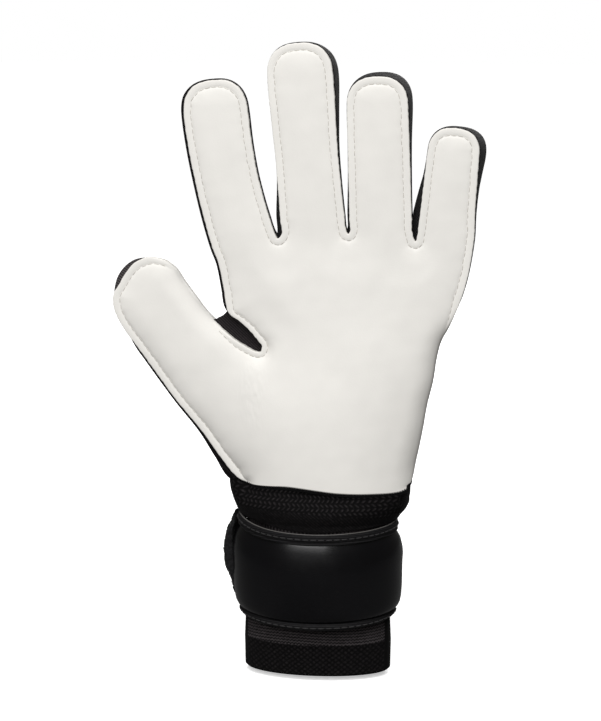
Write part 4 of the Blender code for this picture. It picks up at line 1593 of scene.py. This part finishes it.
def band_stitches(name, angles, z, grow, body, pitch=2.9, length=2.3):
    """A row of stitches round the wrist, spaced as if its radius were STITCHED_RADIUS."""
    sewing = Stitching()
    span = math.radians(abs(angles[1] - angles[0])) * STITCHED_RADIUS
    for i in range(int(span / pitch)):
        ends = []
        for s in (i * pitch, i * pitch + length):
            turn = math.radians(lerp(*angles, s / span))
            x, y = strap_place(turn, grow + side_taper(turn, z))
            ends.append((x, y, strap_height(turn, z)))
        turn = math.radians(lerp(*angles, (i * pitch + length / 2) / span))
        sewing.add(*ends, (math.cos(turn), math.sin(turn), 0.0), 0.3)
    made = make_object(name, sewing.verts, sewing.faces, "dark_thread")
    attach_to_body(made, body)


def edge_bands(part, angles, inner, margin, body, nodes=((), ())):
    """The bound upper and lower edges of a part of the strap, and their stitches."""
    sweep_band(f"{part}_top_band", angles, TOP_BAND, inner, "tape", body, nodes[0])
    sweep_band(f"{part}_low_band", angles, LOW_BAND, inner, "tape", body, nodes[1])
    sewn = angles[0] + margin, angles[1] - margin
    band_stitches(f"{part}_top_stitches", sewn, 66.2, -0.85, body)
    band_stitches(f"{part}_low_stitches", sewn, 28.1, -0.45, body)


strap_pad = sweep_band("strap_panel", FRONT_ANGLES, PANEL, -3.6, "strap", "root",
                       ("strap_front_pad", "strap_webbing"), dent=panel_dent)
edge_bands("strap", FRONT_ANGLES, -2.5, 2.0, "root",
           (("strap_upper_binding",), ("strap_lower_binding",)))
# A painted highlight: a thin light grey tube along the strap's top edge, where the binding catches
# the light.
sweep_band("strap_top_piping", FRONT_ANGLES, GLINT_PROFILE, -1.95, "glint", "root")

flap_pad = sweep_band("strap_flap_panel", FLAP_ANGLES, PANEL, -2.6, "strap", "flap",
                      ("strap_flap",), corner=5.0)
edge_bands("flap", FLAP_ANGLES, -2.4, 3.0, "flap")


def fuzzy_band(name, angles, profile, inner, body, nodes, seed, fuzz=0.22, corner=4.0):
    """A hook-and-loop patch: a band whose outer face strays by about fuzz, like short loops."""
    made = sweep_band(name, angles, profile, inner, "fuzz", body, nodes, step=0.6, corner=corner)
    rng = np.random.default_rng(seed)
    mesh = made.data
    points = np.zeros(len(mesh.vertices) * 3)
    mesh.vertices.foreach_get("co", points)
    points = points.reshape(-1, 3)
    out = np.stack([points[:, 0] / STRAP_HALF[0] ** 2, points[:, 1] / STRAP_HALF[1] ** 2,
                    0 * points[:, 0]], 1)
    out /= np.linalg.norm(out, axis=1)[:, None]
    columns = 2 * len(profile)
    outer = (np.arange(len(points)) % columns) < len(profile)
    stray = rng.normal(0.0, fuzz, len(points)) * outer
    points += out * (np.clip(stray, -2 * fuzz, 2 * fuzz) * MM)[:, None]
    mesh.vertices.foreach_set("co", points.ravel())
    mesh.update()


def flat_profile(low, high, grow, step=0.7):
    """A patch of one thickness with rounded edges."""
    heights = np.arange(low, high + step / 2, step)
    edge = np.minimum(heights - low, high - heights)
    growths = grow - 0.5 * (1 - smooth(edge / 0.8))
    return tuple(zip(heights.tolist(), growths.tolist()))


def tab_profile():
    """The pull tab's outline seen along the wrist, proud of the strap."""
    known = ((32.5, 0.5), (34.5, 1.3), (38.5, 1.9), (41.0, 2.9), (44.2, 4.3), (48.6, 4.9),
             (53.0, 4.5), (58.5, 3.4), (62.5, 2.5), (65.6, 1.6), (67.6, 0.5))
    heights = np.arange(32.5, 67.7, 0.7)
    grow = np.interp(heights, [z for z, _ in known], [g for _, g in known])
    return tuple(zip(heights.tolist(), grow.tolist()))


fuzzy_band("loop_pad", (60.0, 155.0), flat_profile(32.0, 63.0, -4.5), -5.2, "root",
           ("loop_patch",), 31, 0.1)
fuzzy_band("hook_pad", (104.0, 154.0), flat_profile(33.0, 62.0, -3.1), -3.9, "flap",
           ("hook_patch",), 32, 0.08)
fuzzy_band("pull_tab_pad", (126.0, 186.0), tab_profile(), 0.75, "flap", ("pull_tab",), 33, 0.22,
           corner=7.0)

# ---------------------------------------------------------------- CAD nodes that stay

for name in ("palm_lining", "backhand_lining"):
    for slot in frame["nodes"][name].material_slots:
        slot.material = MATERIALS["lining"]

# ---------------------------------------------------------------- stage, light and camera

AMBIENT = 0.11            # light from all round

def area_light(name, place, target, size, power):
    light = bpy.data.lights.new(name, "AREA")
    light.shape = "RECTANGLE"
    light.size, light.size_y = size
    light.energy = power
    made = bpy.data.objects.new(name, light)
    made.location = place
    made.rotation_euler = (Vector(target) - Vector(place)).to_track_quat("-Z", "Y").to_euler()
    bpy.context.scene.collection.objects.link(made)


def sun_light(towards, strength, spread):
    light = bpy.data.lights.new("sky", "SUN")
    light.energy = strength
    light.angle = math.radians(spread)
    made = bpy.data.objects.new("sky", light)
    made.rotation_euler = Vector(towards).to_track_quat("Z", "Y").to_euler()
    bpy.context.scene.collection.objects.link(made)


def add_camera_mix(tree, lit, seen, surface):
    """Show one shader to the camera while another lights the glove, like a dark studio."""
    path = tree.nodes.new("ShaderNodeLightPath")
    mix = tree.nodes.new("ShaderNodeMixShader")
    tree.links.new(path.outputs["Is Camera Ray"], mix.inputs["Fac"])
    tree.links.new(lit, mix.inputs[1])
    tree.links.new(seen, mix.inputs[2])
    tree.links.new(mix.outputs["Shader"], surface)


def make_stage():
    size = 6.0
    mesh = bpy.data.meshes.new("floor")
    mesh.from_pydata([(-size, -size, 0), (size, -size, 0), (size, size, 0), (-size, size, 0)],
                     [], [(0, 1, 2, 3)])
    material = bpy.data.materials.new("floor_white")
    material.use_nodes = True
    shader = material.node_tree.nodes["Principled BSDF"]
    shader.inputs["Base Color"].default_value = (0.93, 0.93, 0.93, 1.0)
    shader.inputs["Emission Color"].default_value = (1.0, 1.0, 1.0, 1.0)
    shader.inputs["Emission Strength"].default_value = 0.5
    shader.inputs["Roughness"].default_value = 0.9
    shader.inputs["Specular IOR Level"].default_value = 0.0
    dim = material.node_tree.nodes.new("ShaderNodeBsdfDiffuse")
    dim.inputs["Color"].default_value = (0.14, 0.14, 0.14, 1.0)
    add_camera_mix(material.node_tree, dim.outputs[0], shader.outputs[0],
                   material.node_tree.nodes["Material Output"].inputs["Surface"])
    mesh.materials.append(material)
    floor = bpy.data.objects.new("floor", mesh)
    bpy.context.scene.collection.objects.link(floor)


def make_world():
    world = bpy.data.worlds.new("studio")
    world.use_nodes = True
    tree = world.node_tree
    seen = tree.nodes["Background"]
    seen.inputs["Color"].default_value = (1.0, 1.0, 1.0, 1.0)
    seen.inputs["Strength"].default_value = 1.0
    lit = tree.nodes.new("ShaderNodeBackground")
    lit.inputs["Color"].default_value = (1.0, 0.98, 0.92, 1.0)
    lit.inputs["Strength"].default_value = AMBIENT
    add_camera_mix(tree, lit.outputs[0], seen.outputs[0],
                   tree.nodes["World Output"].inputs["Surface"])
    bpy.context.scene.world = world


def make_camera():
    azimuth, elevation = math.radians(7.0), math.radians(10.0)
    distance, target = 0.95, Vector((-0.0075, 0.0, 0.136))
    back = Vector((math.sin(azimuth) * math.cos(elevation),
                   -math.cos(azimuth) * math.cos(elevation), math.sin(elevation)))
    camera = bpy.data.cameras.new("camera")
    camera.lens = 112.0
    camera.sensor_width = 36.0
    camera.sensor_fit = "AUTO"
    made = bpy.data.objects.new("camera", camera)
    made.location = target + back * distance
    made.rotation_euler = (-back).to_track_quat("-Z", "Y").to_euler()
    bpy.context.scene.collection.objects.link(made)
    bpy.context.scene.camera = made


# Name, place, target, size and power of the lamps, in metres and watts.
LAMPS = (("key", (0.04, -0.52, 0.71), (0.0, 0.0, 0.22), (0.40, 0.26), 1.8),
         ("accent", (-0.17, -0.86, 0.46), (0.0, 0.0, 0.05), (0.60, 0.17), 2.6),
         ("back", (0.25, 0.95, 0.75), (0.0, 0.0, 0.12), (0.6, 0.5), 10.0))

make_stage()
make_world()
make_camera()
for lamp in LAMPS:
    area_light(*lamp)
sun_light(towards=(0.0, -0.60, 0.80), strength=1.86, spread=42.0)
bpy.context.scene.view_settings.view_transform = "Standard"
